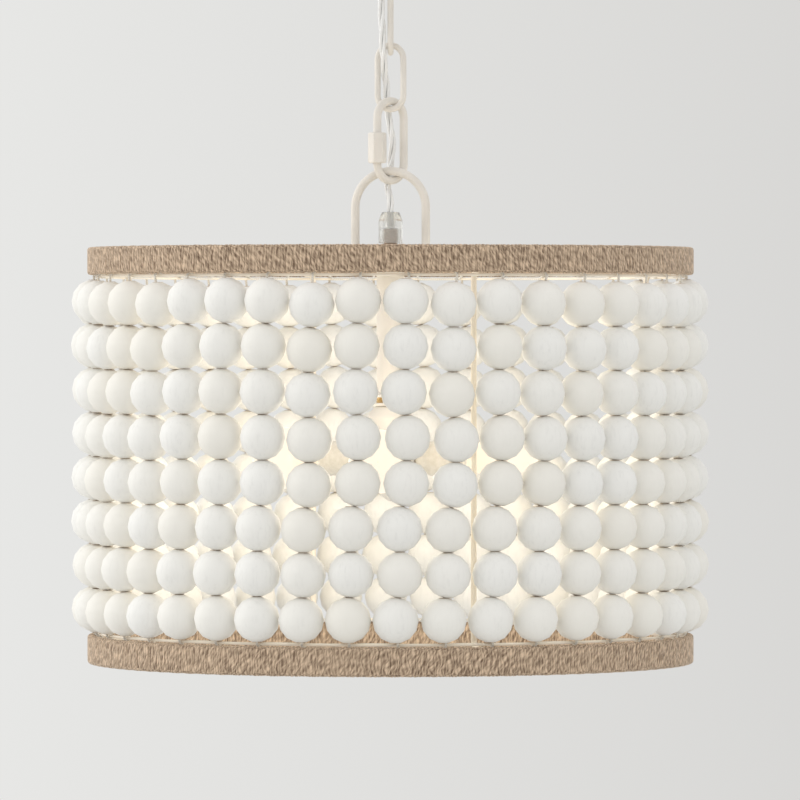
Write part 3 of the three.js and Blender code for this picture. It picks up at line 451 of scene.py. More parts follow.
class Nodes:
    """Short ways to add nodes to a tree and to feed their sockets."""

    def __init__(self, tree):
        self.tree = tree

    def node(self, kind, inputs=(), **settings):
        made = self.tree.nodes.new("ShaderNode" + kind)
        for key, value in settings.items():
            setattr(made, key, value)
        for socket, value in dict(inputs).items():
            self.feed(made.inputs[socket], value)
        return made

    def feed(self, socket, value):
        if isinstance(value, bpy.types.NodeSocket):
            self.tree.links.new(value, socket)
        else:
            socket.default_value = value

    def place(self):
        return self.node("TexCoord").outputs["Object"]

    def surface(self):
        return self.node("UVMap", uv_map="surface").outputs["UV"]

    def field(self, name, part="Fac"):
        return self.node("Attribute", attribute_name=name).outputs[part]

    def split(self, vector):
        parts = self.node("SeparateXYZ", {0: vector}).outputs
        return parts["X"], parts["Y"]

    def scaled(self, vector, scale):
        return self.node("Mapping", {"Vector": vector, "Scale": scale}).outputs["Vector"]

    def noise(self, vector, scale, detail=3, roughness=0.55):
        return self.node("TexNoise", {"Vector": vector, "Scale": scale, "Detail": detail,
                                      "Roughness": roughness}).outputs["Fac"]

    def ramp(self, factor, *stops):
        made = self.node("ValToRGB", {"Fac": factor})
        while len(made.color_ramp.elements) < len(stops):
            made.color_ramp.elements.new(0.5)
        for element, (position, value) in zip(made.color_ramp.elements, stops):
            element.position = position
            element.color = value
        return made.outputs["Color"]

    def spread(self, factor, low, high, start=0.0, end=1.0):
        return self.node("MapRange", {"Value": factor, "From Min": start, "From Max": end,
                                      "To Min": low, "To Max": high}).outputs["Result"]

    def math(self, operation, *values):
        return self.node("Math", enumerate(values), operation=operation).outputs[0]

    def total(self, *parts):
        """The sum of some sockets, each times its weight."""
        terms = [self.math("MULTIPLY", socket, weight) for socket, weight in parts]
        result = terms[0]
        for term in terms[1:]:
            result = self.math("ADD", result, term)
        return result

    def wave(self, slant):
        """A sine between 0 and 1."""
        return self.spread(self.math("SINE", slant), 0.0, 1.0, -1.0, 1.0)

    def mix(self, factor, a, b):
        return self.node("Mix", {0: factor, 6: a, 7: b}, data_type="RGBA").outputs[2]


class Finish(Nodes):
    """A node-based material and its shader."""

    def __init__(self, name, **sockets):
        self.material = bpy.data.materials.new(name)
        self.material.use_nodes = True
        super().__init__(self.material.node_tree)
        self.shader = self.tree.nodes["Principled BSDF"]
        for socket, value in sockets.items():
            self.coat(socket.replace("_", " "), value)

    def coat(self, socket, value):
        self.feed(self.shader.inputs[socket], value)

    def tint(self, factor, *stops):
        self.coat("Base Color", self.ramp(factor, *stops))

    def done(self, relief, distance, strength, rough=None):
        """Raises the surface by a fine pattern, which also sets how rough it is where two
        values are given, and returns the material."""
        if rough:
            self.coat("Roughness", self.spread(relief, *rough))
        bump = self.node("Bump", {"Height": relief, "Distance": distance, "Strength": strength})
        self.coat("Normal", bump.outputs["Normal"])
        return self.material


def shade_of(value, share=1):
    return tuple(min(1, c * share) for c in value[:3]) + (1,)


def paint_finish(name, value):
    """Satin sprayed paint: a fine ripple and a slow change of tone."""
    f = Finish(name, Specular_IOR_Level=0.45)
    place = f.place()
    f.tint(f.noise(place, 38, 2), (0.3, shade_of(value, 0.93)), (0.55, tuple(value)),
           (0.75, shade_of(value, 1.04)))
    return f.done(f.noise(place, 900, 2), 0.00012, 0.5, (0.36, 0.52))


def wood_finish(value):
    """Matt paint on turned wood: the grain shows as faint lines and shallow furrows along the bead,
    each bead has its own tone, and at a bead's two flat ends, where the end field comes near to 1,
    a darker brown shows that is partly bare wood and partly painted shade in the contact line
    between one bead and the next."""
    f = Finish("matt_bead_paint", Specular_IOR_Level=0.3)
    grain = f.field("grain", "Vector")
    lines = f.noise(f.scaled(grain, (1, 1, 0.16)), 420, 3, 0.6)
    cloud = f.noise(grain, 70, 2)
    base = f.ramp(lines, (0.30, shade_of(value, 0.93)), (0.46, shade_of(value, 0.99)),
                  (0.62, tuple(value)))
    base = f.mix(f.spread(cloud, 0.0, 0.35, 0.35, 0.75), base, shade_of(value, 1.04))
    warm = (value[0] * 0.99, value[1] * 0.97, value[2] * 0.93, 1)
    base = f.mix(f.field("tone"), base, warm)
    # Brown at the flat ends: partly bare wood, partly painted shade where one bead meets the next.
    bare_and_shaded = f.ramp(cloud, (0.3, BARE_WOOD_AND_CONTACT_SHADE[0]), (0.7, BARE_WOOD_AND_CONTACT_SHADE[1]))
    f.coat("Base Color", f.mix(f.spread(f.field("end"), 0.0, 1.0, *BARE_AND_SHADED_END), base, bare_and_shaded))
    return f.done(lines, 0.00016, 0.45, (0.78, 0.62))


def jute_finish(light, dark):
    """Jute yarn: the map counts turns of yarn along the rim and runs along each turn in yarn
    widths. The colour follows the yarn's height: painted shade in the grooves between turns and
    plies, the yarn's tan on the turns and a painted highlight on the highest fibres; twisted fibres
    cross each turn at a slant."""
    f = Finish("wound_jute", Specular_IOR_Level=0.15, Sheen_Weight=0.35, Sheen_Roughness=0.4,
               Sheen_Tint=(1, 0.97, 0.92, 1))
    surface = f.surface()
    turns, run = f.split(surface)
    crest = f.spread(f.math("COSINE", f.math("MULTIPLY", turns, TURN)), 1.0, 0.0, -1.0, 1.0)
    slant = f.node("CombineXYZ", {0: f.total((turns, 1.15), (run, 0.85)),
                                  1: f.math("MULTIPLY", run, 0.55)}).outputs[0]
    plies = f.spread(f.noise(slant, 1.0, 2, 0.5), 0.0, 1.0, 0.36, 0.64)
    fibres = f.noise(f.scaled(surface, (6.0, 1.3, 1)), 1.0, 3, 0.65)
    height = f.total((crest, 0.26), (plies, 0.52), (fibres, 0.30))
    middle = tuple(0.42 * a + 0.58 * b for a, b in zip(light[:3], dark[:3])) + (1,)
    # Darker with depth and lighter with height: painted shade in the grooves, painted highlight on
    # the raised fibres.
    base = f.ramp(height, (0.12, tuple(dark)), (0.40, middle), (0.72, tuple(light)),
                  (0.98, shade_of(light, 1.35)))
    patches = f.spread(f.noise(f.place(), 26, 2), 0.0, 0.22, 0.4, 0.8)
    f.coat("Base Color", f.mix(patches, base, shade_of(light)))
    return f.done(fibres, 0.0004, 0.9, (0.98, 0.82))


def string_finish(value):
    """Cotton string: the map runs along and round it in metres, and slanted plies cross it, painted
    darker as shade in the grooves between them.
    """
    f = Finish("cotton_string", Roughness=0.9, Specular_IOR_Level=0.1)
    run, side = f.split(f.surface())
    ply = f.wave(f.total((run, TURN / 0.0016), (side, TURN / 0.0028)))
    fuzz = f.noise(f.place(), 2600, 2)
    # Darker in the grooves between plies: painted shade.
    f.tint(f.total((ply, 0.6), (fuzz, 0.4)), (0.1, shade_of(value, 0.82)), (0.6, tuple(value)))
    return f.done(ply, 0.0003, 0.6)


def strand_finish():
    """Clear plastic over tinned wire: fine slanted wires under a glossy coat."""
    f = Finish("clear_cord", Roughness=0.22, Coat_Weight=1.0, Coat_Roughness=0.05)
    run, side = f.split(f.surface())
    wires = f.wave(f.total((run, TURN / 0.0042), (side, TURN / 0.0009)))
    f.tint(wires, (0.0, (0.66, 0.66, 0.65, 1)), (0.45, (0.88, 0.88, 0.87, 1)),
           (1.0, (0.93, 0.93, 0.92, 1)))
    return f.done(wires, 0.00008, 0.4)


def grip_finish():
    """Clear moulded plastic, slightly frosted on its outside."""
    f = Finish("clear_grip", Base_Color=(0.93, 0.93, 0.91, 1), IOR=1.47,
               Transmission_Weight=0.8, Specular_IOR_Level=0.5)
    return f.done(f.noise(f.place(), 700, 3), 0.00006, 0.4, (0.1, 0.22))


def metal_finish(name, along=(40, 40, 900)):
    """Plated metal: fine scratches one way and a slow change of gloss."""
    value, low, high = METALS[name]
    f = Finish(name, Metallic=1.0)
    place = f.place()
    f.tint(f.noise(place, 60, 2), (0.3, shade_of(value, 0.85)), (0.7, shade_of(value)))
    return f.done(f.noise(f.scaled(place, along), 1.0, 3), 0.00004, 0.3, (low, high))


def shell_finish():
    """Moulded phenolic shell: matt, with a faint mottle."""
    f = Finish("moulded_shell", Specular_IOR_Level=0.4)
    mottle = f.noise(f.place(), 300, 3)
    f.tint(mottle, (0.35, (0.74, 0.69, 0.59, 1)), (0.65, (0.82, 0.77, 0.68, 1)))
    return f.done(mottle, 0.00008, 0.3, (0.5, 0.66))


def bulb_finish(value, glow):
    """Frosted glass, lit from inside: nearly white round the globe and warmer towards the neck,
    by the map coordinate that runs from 0 at the neck to 1 at the widest place."""
    f = Finish("lit_bulb", Base_Color=(0.30, 0.29, 0.26, 1), Emission_Strength=glow)
    warm = (value[0], value[1] * 0.93, value[2] * 0.82, 1)
    near = f.split(f.surface())[0]
    f.coat("Emission Color", f.ramp(near, (0.2, warm), (0.8, tuple(value))))
    f.coat("Roughness", f.spread(f.noise(f.place(), 500, 2), 0.3, 0.5))
    return f.material


def studio_world(world, stage):
    """Light from all round, brighter from the left. The camera, gloss and clear plastic see a
    pale backdrop in its place."""
    world.use_nodes = True
    f = Nodes(world.node_tree)
    across = f.split(f.node("TexCoord").outputs["Generated"])[0]
    around = f.tree.nodes["Background"]
    f.feed(around.inputs["Color"], (1, 0.998, 0.992, 1))
    f.feed(around.inputs["Strength"],
           f.spread(across, stage.ambient_left, stage.ambient_right, -1, 1))
    tint = f.mix(f.spread(across, 0, 1, -BACKDROP_REACH, BACKDROP_REACH),
                 stage.backdrop_left, stage.backdrop_right)
    backdrop = f.node("Background", {"Color": tint})
    rays = f.node("LightPath").outputs
    seen = rays["Is Camera Ray"]
    for ray in ("Is Glossy Ray", "Is Transmission Ray"):
        seen = f.math("MAXIMUM", seen, rays[ray])
    mixed = f.node("MixShader", {0: seen, 1: around.outputs[0], 2: backdrop.outputs[0]})
    f.feed(f.tree.nodes["World Output"].inputs["Surface"], mixed.outputs[0])


# Pieces

def placed(name, data, place=(0, 0, 0), degrees=(0, 0, 0)):
    """Puts an object into the scene, turned by three angles."""
    made = bpy.data.objects.new(name, data)
    made.location = place
    made.rotation_euler = [math.radians(value) for value in degrees]
    bpy.context.scene.collection.objects.link(made)
    return made


def dress(node, finish):
    """Gives a material to one of the frame's solids that stays in the picture."""
    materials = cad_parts[node].data.materials
    materials.clear()
    materials.append(finish)


def lathed(section, segments, loop=True):
    """A turned form in millimetres. Its section is a closed one where loop is set."""
    return Form().add(turned(np.array(section) * MM, segments), loop=loop)


def thread(radius, depth, pitch, low, high):
    """A screw thread's profile: the radius goes in and out once in each pitch."""
    steps = max(2, int(round((high - low) / pitch * 2)))
    z = np.linspace(low, high, steps + 1)
    r = radius - depth * (np.arange(steps + 1) % 2)
    return list(zip(r, z))


def threaded_tube(bore, radius, depth, pitch, low, high):
    return [(bore, low), *thread(radius, depth, pitch, low, high), (bore, high)]


def hexagon(bore, corner, height, bevel=0.6):
    """A hexagonal nut about Z, from 0 up: the outer radius is the smaller of a hexagon's and of
    a cone's that closes in towards each end."""
    flat = corner * math.cos(TURN / 12)
    a = steps_round(72)
    six = flat / np.cos((a + TURN / 12) % (TURN / 6) - TURN / 12)
    rise = np.array([0, 0.25, 0.5, 0.8])
    z = np.concatenate([rise, height - rise[::-1]])
    cone = flat - bevel * 0.4 + np.minimum(z, height - z) * 1.6
    inner = np.full((len(a), 1), bore)
    r = np.hstack([inner, np.minimum(six[:, None], cone[None, :]), inner])
    return drum(r, a[:, None], np.concatenate([[0], z, [height]]))


def link_path(top):
    """An oval: two half circles joined by straight sides, in the XZ plane, given once round."""
    r = LINK_WIDTH / 2 - LINK_WIRE
    upper = arc(0, top - r, r, 0, 0.5, 16)
    lower = arc(0, top - LINK_SPAN + r, r, 0.5, 1, 16)
    left = np.linspace(upper[-1], lower[0], 6)[1:-1]
    right = np.linspace(lower[-1], upper[0], 6)[1:-1]
    return np.vstack([upper, left, lower, right])


def bead_shape(settings):
    """A ball cut flat at both ends: (R cos t, R sin t) over t between the two cuts."""
    radius = settings.diameter / 2
    cut = math.asin(min(0.98, settings.height / settings.diameter))
    t = np.linspace(-cut, cut, 7)
    return turned(np.stack([radius * np.cos(t), radius * np.sin(t)], 1), settings.segments)


def strays(settings):
    """Where each bead of each column lies beside the column's line: two slow waves round the
    drum whose phase differs from row to row, and a little chance. Neighbours stay apart."""
    chance = np.random.default_rng(settings.seed)
    turn = TURN * np.arange(COLUMNS)[None, :] / COLUMNS
    phase = chance.uniform(0, TURN, (2, ROWS, 1))
    wave = 0.7 * np.sin(2 * turn + phase[0]) + 0.3 * np.sin(3 * turn + phase[1])
    small = chance.uniform(-0.06, 0.06, (ROWS, COLUMNS))
    outward = chance.uniform(-0.25, 0.25, (ROWS, COLUMNS))
    return settings.slack * (wave + small), settings.slack * outward


def cord_line():
    """The cord's middle line in even steps, and the length run at each of its points."""
    curve = smooth(CORD_ROUTE, 24)
    run = distance_run(curve)
    even = np.linspace(0, run[-1], CORD_STEPS + 1)
    return np.stack([np.interp(even, run, curve[:, i]) for i in range(3)], 1), even


class Builder:
    """What every operator shares: it runs its own build and reports success."""
    bl_options = {"REGISTER", "UNDO"}

    def execute(self, context):
        self.build(context, context.scene.chandelier)
        return {"FINISHED"}


class CHANDELIER_OT_stage(Builder, bpy.types.Operator):
    """Sets up the camera, the soft light, the backdrop and the floor"""
    bl_idname = "chandelier.stage"
    bl_label = "Stage"

    def build(self, context, settings):
        scene = context.scene
        scene.view_settings.view_transform = "Standard"
        lens = bpy.data.cameras.new("camera")
        lens.sensor_width, lens.lens, lens.clip_end = 36, CAMERA_LENS, 200
        scene.camera = placed("camera", lens, CAMERA_PLACE, (90 - CAMERA_TILT, 0, 0))
        scene.world = scene.world or bpy.data.worlds.new("studio")
        studio_world(scene.world, settings.stage)
        lamp = bpy.data.lights.new("side_light", "AREA")
        lamp.shape = "RECTANGLE"
        lamp.size, lamp.size_y = LAMP_SIZE
        lamp.energy = settings.stage.window
        lamp.color = LAMP_COLOUR
        placed("side_light", lamp, LAMP_PLACE, LAMP_TURN)
        self.floor()

    def floor(self):
        ring = drum(FLOOR_RADIUS, steps_round(96), FLOOR_LEVEL)
        f = Finish("pale_floor", Roughness=0.9, Specular_IOR_Level=0.1)
        f.tint(f.noise(f.place(), 0.6, 2),
               (0.3, (0.74, 0.74, 0.725, 1)), (0.7, (0.77, 0.77, 0.755, 1)))
        floor = Form().add(np.stack([ring - (0, 0, 0.05), ring])).make("floor", [f.material])


class CHANDELIER_OT_cord(Builder, bpy.types.Operator):
    """Twists three clear strands along the cord's route, in a stretch for each joint"""
    bl_idname = "chandelier.cord"
    bl_label = "Cord"

    bodies = ("ceiling_plate", "upper_chain_link", "lower_chain_link", "quick_link_bar", "shade")
    stretches = (
        ("feed", None), ("upper", "upper_link_swing"), ("middle", "lower_link_swing"),
        ("lower", "quick_link_swing"), ("tail", "shade_swing"),
    )

    def build(self, context, settings):
        line, run = cord_line()
        radius = settings.cord.strand / 2
        ring = radius * 2 / math.sqrt(3) + STRAND_GAP
        first, second = square_frame(line, False, (1, 0, 0))
        strands = []
        for k in range(3):
            a = (TURN * (run / settings.cord.lay + k / 3))[:, None]
            path = line + ring * (np.cos(a) * first + np.sin(a) * second)
            strands.append(swept(path, radius, 10, reference=(1, 0, 0)))
        cuts = [0, *(int(round(cut * CORD_STEPS)) for cut in CORD_CUTS), CORD_STEPS]
        finish = strand_finish()
        for index, (name, joint) in enumerate(self.stretches):
            top, foot = cuts[index:index + 2]
            span = slice(top, foot + 1)
            form = Form()
            for grid in strands:
                form.add(grid[span], u=np.append(run[span], run[foot]),
                         v=np.linspace(0, TURN * radius, 11))
            piece = form.make(name + "_stretch", [finish], sharp=60)
            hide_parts("cord_" + name)
            if joint is None:
                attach(piece, self.bodies[index])
                continue
            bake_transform(piece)


class CHANDELIER_OT_ceiling_plate(Builder, bpy.types.Operator):
    """Gives the crossbar its plating and makes its screws, nipple and lock nut"""
    bl_idname = "chandelier.ceiling_plate"
    bl_label = "Ceiling plate"

    def build(self, context, settings):
        zinc = metal_finish("zinc_plate", (900, 40, 40))
        dress("crossbar", zinc)
        for side, name in ((-1, "left"), (1, "right")):
            self.screw(side, name, zinc)
        section = threaded_tube(NIPPLE_BORE, NIPPLE_RADIUS, 0.35, 1.0, -NIPPLE_LENGTH, 0)
        lathed(section, 48).settle("nipple_thread", [zinc], "ceiling_plate", "plated_steel",
                                   "threaded_nipple")
        nut = hexagon(NIPPLE_RADIUS + SEAT_GAP, LOCK_NUT_CORNER, LOCK_NUT_HEIGHT)
        nut[:, :, 2] -= PLATE_THICKNESS + SEAT_GAP + LOCK_NUT_HEIGHT
        Form().add(nut * MM, loop=True).settle("hex_lock_nut", [zinc], "ceiling_plate",
                                               "plated_steel", "lock_nut")

    def screw(self, side, name, zinc):
        """A pan head, a quarter ellipse over a low edge, and a threaded shank above it."""
        seat, head, rim = -PLATE_THICKNESS - SEAT_GAP, SCREW_HEAD_RADIUS, SCREW_HEAD_HEIGHT
        end = seat + SCREW_LENGTH
        profile = [
            (0.1, seat - rim),
            *((head * math.sin(a), seat - rim * math.cos(a) * 0.8 - rim * 0.2)
              for a in np.linspace(0.04, 0.5, 7) * math.pi),
            (head, seat), (SCREW_RADIUS, seat),
            *thread(SCREW_RADIUS, 0.3, 0.8, seat + 0.2, end - 0.4), (SCREW_RADIUS * 0.5, end),
        ]
        grid = turned(np.array(profile) * MM, 24)
        grid[:, :, 0] += side * SCREW_SPACING / 2 * MM
        Form().add(grid).settle("pan_screw_" + name, [zinc], "ceiling_plate", "plated_steel",
                                "crossbar_screw_" + name)


class CHANDELIER_OT_canopy(Builder, bpy.types.Operator):
    """Spins the canopy dome and the collar that holds it up"""
    bl_idname = "chandelier.canopy"
    bl_label = "Canopy"

    def build(self, context, settings):
        paint = settings.finish_of_paint()
        hole = NECK_RADIUS + CANOPY_PLAY
        edge, within = CANOPY_EDGE, CANOPY_RADIUS - CANOPY_WALL
        section = np.vstack([
            [[hole, -CANOPY_DEPTH]], self.dome(0)[::-1],
            [[CANOPY_RADIUS, -edge], [CANOPY_RADIUS - edge, 0], [within + edge, 0],
             [within, -edge]],
            self.dome(CANOPY_WALL), [[hole, -CANOPY_DEPTH + CANOPY_WALL]],
        ])
        lathed(section, 96).settle("canopy_dome", [paint], "canopy_cover", "cream_paint",
                                   "canopy")
        top = -CANOPY_DEPTH - SEAT_GAP
        foot = top - COLLAR_HEIGHT
        section = rounded_ring([
            (hole, top), (hole, foot), (COLLAR_RADIUS - COLLAR_BEVEL, foot),
            (COLLAR_RADIUS, foot + COLLAR_BEVEL), (COLLAR_RADIUS, top),
        ], 0.5)
        lathed(section, 80).settle("collar_ring", [paint], "canopy_cover", "cream_paint",
                                   "canopy_collar")

    def dome(self, wall):
        """The canopy's side, this far in from its outside: a quarter of an ellipse that joins
        the rim to the flat top."""
        a = TURN / 4 * np.linspace(0, 1, 17)
        return np.stack([
            CANOPY_FLAT + (CANOPY_RADIUS - wall - CANOPY_FLAT) * np.cos(a),
            -CANOPY_RIM - (CANOPY_DEPTH - wall - CANOPY_RIM) * np.sin(a),
        ], 1)


class CHANDELIER_OT_chain(Builder, bpy.types.Operator):
    """Bends the ring, the links, the quick link and the bail, and makes the sleeve nut"""
    bl_idname = "chandelier.chain"
    bl_label = "Chain"

    def build(self, context, settings):
        self.paint = settings.finish_of_paint()
        self.ring()
        for name, body, node, top, yaw in (
            ("upper_oval", "upper_chain_link", "upper_link", UPPER_TOP, UPPER_YAW),
            ("lower_oval", "lower_chain_link", "lower_link", LOWER_TOP, LOWER_YAW),
        ):
            self.bar(name, body, node, link_path(top), LINK_WIRE, yaw, True)
        r = QUICK_WIDTH / 2 - QUICK_WIRE
        low = QUICK_FOOT + r
        path = np.vstack([
            [[-r, 0, low + QUICK_GAP_FROM_ARC + QUICK_GAP]],
            arc(0, QUICK_TOP - r, r, 0.5, 0, 18),
            arc(0, low, r, 0, -0.5, 18),
            [[-r, 0, low + QUICK_GAP_FROM_ARC]],
        ])
        self.bar("quick_oval", "quick_link_bar", "quick_link", path, QUICK_WIRE, QUICK_YAW, False)
        nut = hexagon(QUICK_WIRE + SEAT_GAP, SLEEVE_CORNER, SLEEVE_LENGTH, bevel=1.2)
        nut += (-r, 0, low + SLEEVE_FROM_ARC)
        Form().add(yawed(nut, QUICK_YAW) * MM, loop=True).settle(
            "hex_sleeve", [self.paint], "sleeve_nut", "cream_paint", "quick_link_sleeve")
        r = BAIL_WIDTH / 2 - BAIL_ROD
        path = np.vstack([
            np.linspace([-r, 0, BAIL_FOOT], [-r, 0, BAIL_TOP - r], 5)[:-1],
            arc(0, BAIL_TOP - r, r, 0.5, 0, 32),
            np.linspace([r, 0, BAIL_TOP - r], [r, 0, BAIL_FOOT], 5)[1:],
        ])
        self.bar("bail_arch", "shade", "hanging_bail", path, BAIL_ROD, BAIL_YAW, False)

    def bar(self, name, body, node, path, wire, yaw, closed):
        """A bent bar, a little thinner than its solid so that it swings clear of the next one"""
        rod = swept(path, wire - BAR_TRIM, 20, closed)
        Form().add(yawed(rod, yaw) * MM, loop=closed).settle(
            name, [self.paint], body, "cream_paint", node, sharp=50)

    def ring(self):
        """The neck under the canopy, and the ring for the chain, which ends inside the neck."""
        inside, top = NIPPLE_RADIUS + SEAT_GAP, -NIPPLE_LENGTH - SEAT_GAP
        section = rounded_ring([
            (CORD_BORE, NECK_FOOT + 2), (CORD_BORE, NECK_FOOT), (NECK_RADIUS, NECK_FOOT),
            (NECK_RADIUS, NECK_TOP), (inside, NECK_TOP), (inside, top), (CORD_BORE, top),
        ], 0.8)
        form = Form().add(yawed(turned(section, 64), RING_YAW) * MM, loop=True)
        path = arc(0, RING_CENTRE, RING_RADIUS, *RING_ENDS, 44)
        form.add(yawed(swept(path, RING_WIRE, 20), RING_YAW) * MM)
        form.settle("neck_and_ring", [self.paint], "ceiling_plate", "cream_paint", "canopy_loop")


class CHANDELIER_OT_grip(Builder, bpy.types.Operator):
    """Turns the clear cord grip and the threaded bush that it is screwed on"""
    bl_idname = "chandelier.grip"
    bl_label = "Cord grip"

    def build(self, context, settings):
        pocket, roof = BUSH_RADIUS + SEAT_GAP, BUSH_TOP + SEAT_GAP
        section = rounded_ring([
            (pocket, GRIP_FOOT + 4), (pocket, GRIP_FOOT), (GRIP_RADIUS, GRIP_FOOT),
            (GRIP_RADIUS, GRIP_TOP - GRIP_TAPER), (GRIP_TIP, GRIP_TOP), (CORD_BORE, GRIP_TOP),
            (CORD_BORE, roof), (pocket, roof),
        ], 1.1, 4)
        lathed(section, 64).settle("clear_grip", [grip_finish()], "shade", "clear_plastic",
                                   "cord_grip")
        section = threaded_tube(BUSH_BORE, BUSH_RADIUS, 0.3, 1.2, SPIDER_TOP + SEAT_GAP, BUSH_TOP)
        lathed(section, 48).settle("bush_thread", [metal_finish("bush_metal")], "shade",
                                   "dark_steel", "grip_bush")


class CHANDELIER_OT_rims(Builder, bpy.types.Operator):
    """Winds each rim with one unbroken spiral of jute yarn"""
    bl_idname = "chandelier.rims"
    bl_label = "Jute rims"

    def build(self, context, settings):
        jute = jute_finish(settings.finish.jute_light, settings.finish.jute_groove_shade)
        hoop_steel = metal_finish("hoop_steel")
        for hoop in ("top_hoop", "bottom_hoop"):
            dress(hoop, hoop_steel)
        for name, node, edge, up, far, seed in (
            ("top_yarn", "top_jute_winding", BEAD_TOP + RIM_FROM_BEADS, 1,
             RIM_HEIGHT - RIM_PULL, 3),
            ("bottom_yarn", "bottom_jute_winding", BEAD_FOOT - RIM_FROM_BEADS, -1,
             RIM_HEIGHT, 4),
        ):
            form = Form()
            self.wind(form, settings.rims, edge, up, far, seed)
            self.hollow(form, edge, up)
            form.settle(name, [jute], "shade", "jute_yarn", node, sharp=80)

    def section(self, height):
        """A rounded rectangle, in points and outward directions, given once round."""
        half_across = (RIM_OUTER - RIM_INNER) / 2 - RIM_CORNER
        half_up = height / 2 - RIM_CORNER
        points, outward = [], []
        for across, up, start in ((1, 1, 0), (-1, 1, 0.25), (-1, -1, 0.5), (1, -1, 0.75)):
            a = TURN * (start + np.linspace(0, 0.25, 4))
            ray = np.stack([np.cos(a), np.sin(a)], 1)
            points.append(np.array([across * half_across, up * half_up]) + RIM_CORNER * ray)
            outward.append(ray)
            if across != up:
                side = np.full(4, across * (half_across + RIM_CORNER))
                share = np.linspace(up, -up, 6)[1:-1]
                points.append(np.stack([side, share * half_up], 1))
                outward.append(np.tile([across, 0.0], (4, 1)))
        return np.vstack(points), np.vstack(outward)

    def wind(self, form, rims, edge, up, far, seed):
        """Rim surface: the section pushed outward by yarn depth times the rise of the turn it is
        on, where a turn rises as half a cosine wave of the yarn count, and the count gains one
        turn in each trip round the section. The count also wanders by slow waves. The section
        reaches from RIM_PULL to far, both measured from the rim's edge at the beads."""
        per_turn = 4
        turns = int(round(TURN * RIM_OUTER * MM / rims.yarn))
        points, outward = self.section(far - RIM_PULL)
        rows = len(points)
        trip = np.arange(rows) / rows
        column = np.arange(turns * per_turn)
        count = column[:, None] / per_turn + trip[None, :]
        chance = np.random.default_rng(seed)
        wander = np.zeros_like(count)
        for waves in WANDER_WAVES:
            phase = chance.uniform(0, TURN, 2)
            slide = chance.uniform(-1.2, 1.2)
            angle = TURN * waves * column[:, None] / len(column)
            wander += np.sin(angle + phase[0] + slide * TURN * np.sin(TURN * trip + phase[1]))
        azimuth = TURN * (count + rims.wander * WANDER_SHARE * wander) / turns
        thick = 1 + 0.25 * np.sin(TURN * THICK_WAVES * column / len(column)
                                  + TURN * chance.random())
        rise = (0.5 - 0.5 * np.cos(TURN * (column % per_turn) / per_turn))[:, None]
        push = rims.depth / MM * (rise * thick[:, None] - 0.6)
        r = (RIM_OUTER + RIM_INNER) / 2 + points[None, :, 0] + outward[None, :, 0] * push
        h = (far + RIM_PULL) / 2 + points[None, :, 1] + outward[None, :, 1] * push
        girth = 2 * (RIM_HEIGHT + RIM_OUTER - RIM_INNER) * MM / rims.yarn
        form.add(drum(r, azimuth, edge + up * h) * MM, loop=True, shift=per_turn,
                 u=np.arange(len(column) + 1) / per_turn, v=np.linspace(0, girth, rows + 1))

    def hollow(self, form, edge, up):
        """The inside of the winding, where the hoop lies: a plain ring turned inside out."""
        low, high = edge + up * RIM_WALL, edge + up * (RIM_HEIGHT - RIM_WALL)
        inner, outer = RIM_INNER + RIM_WALL, RIM_OUTER - RIM_WALL
        section = np.array([(inner, low), (outer, low), (outer, high), (inner, high)])
        form.add(turned(section * MM, 160), loop=True, inward=True)


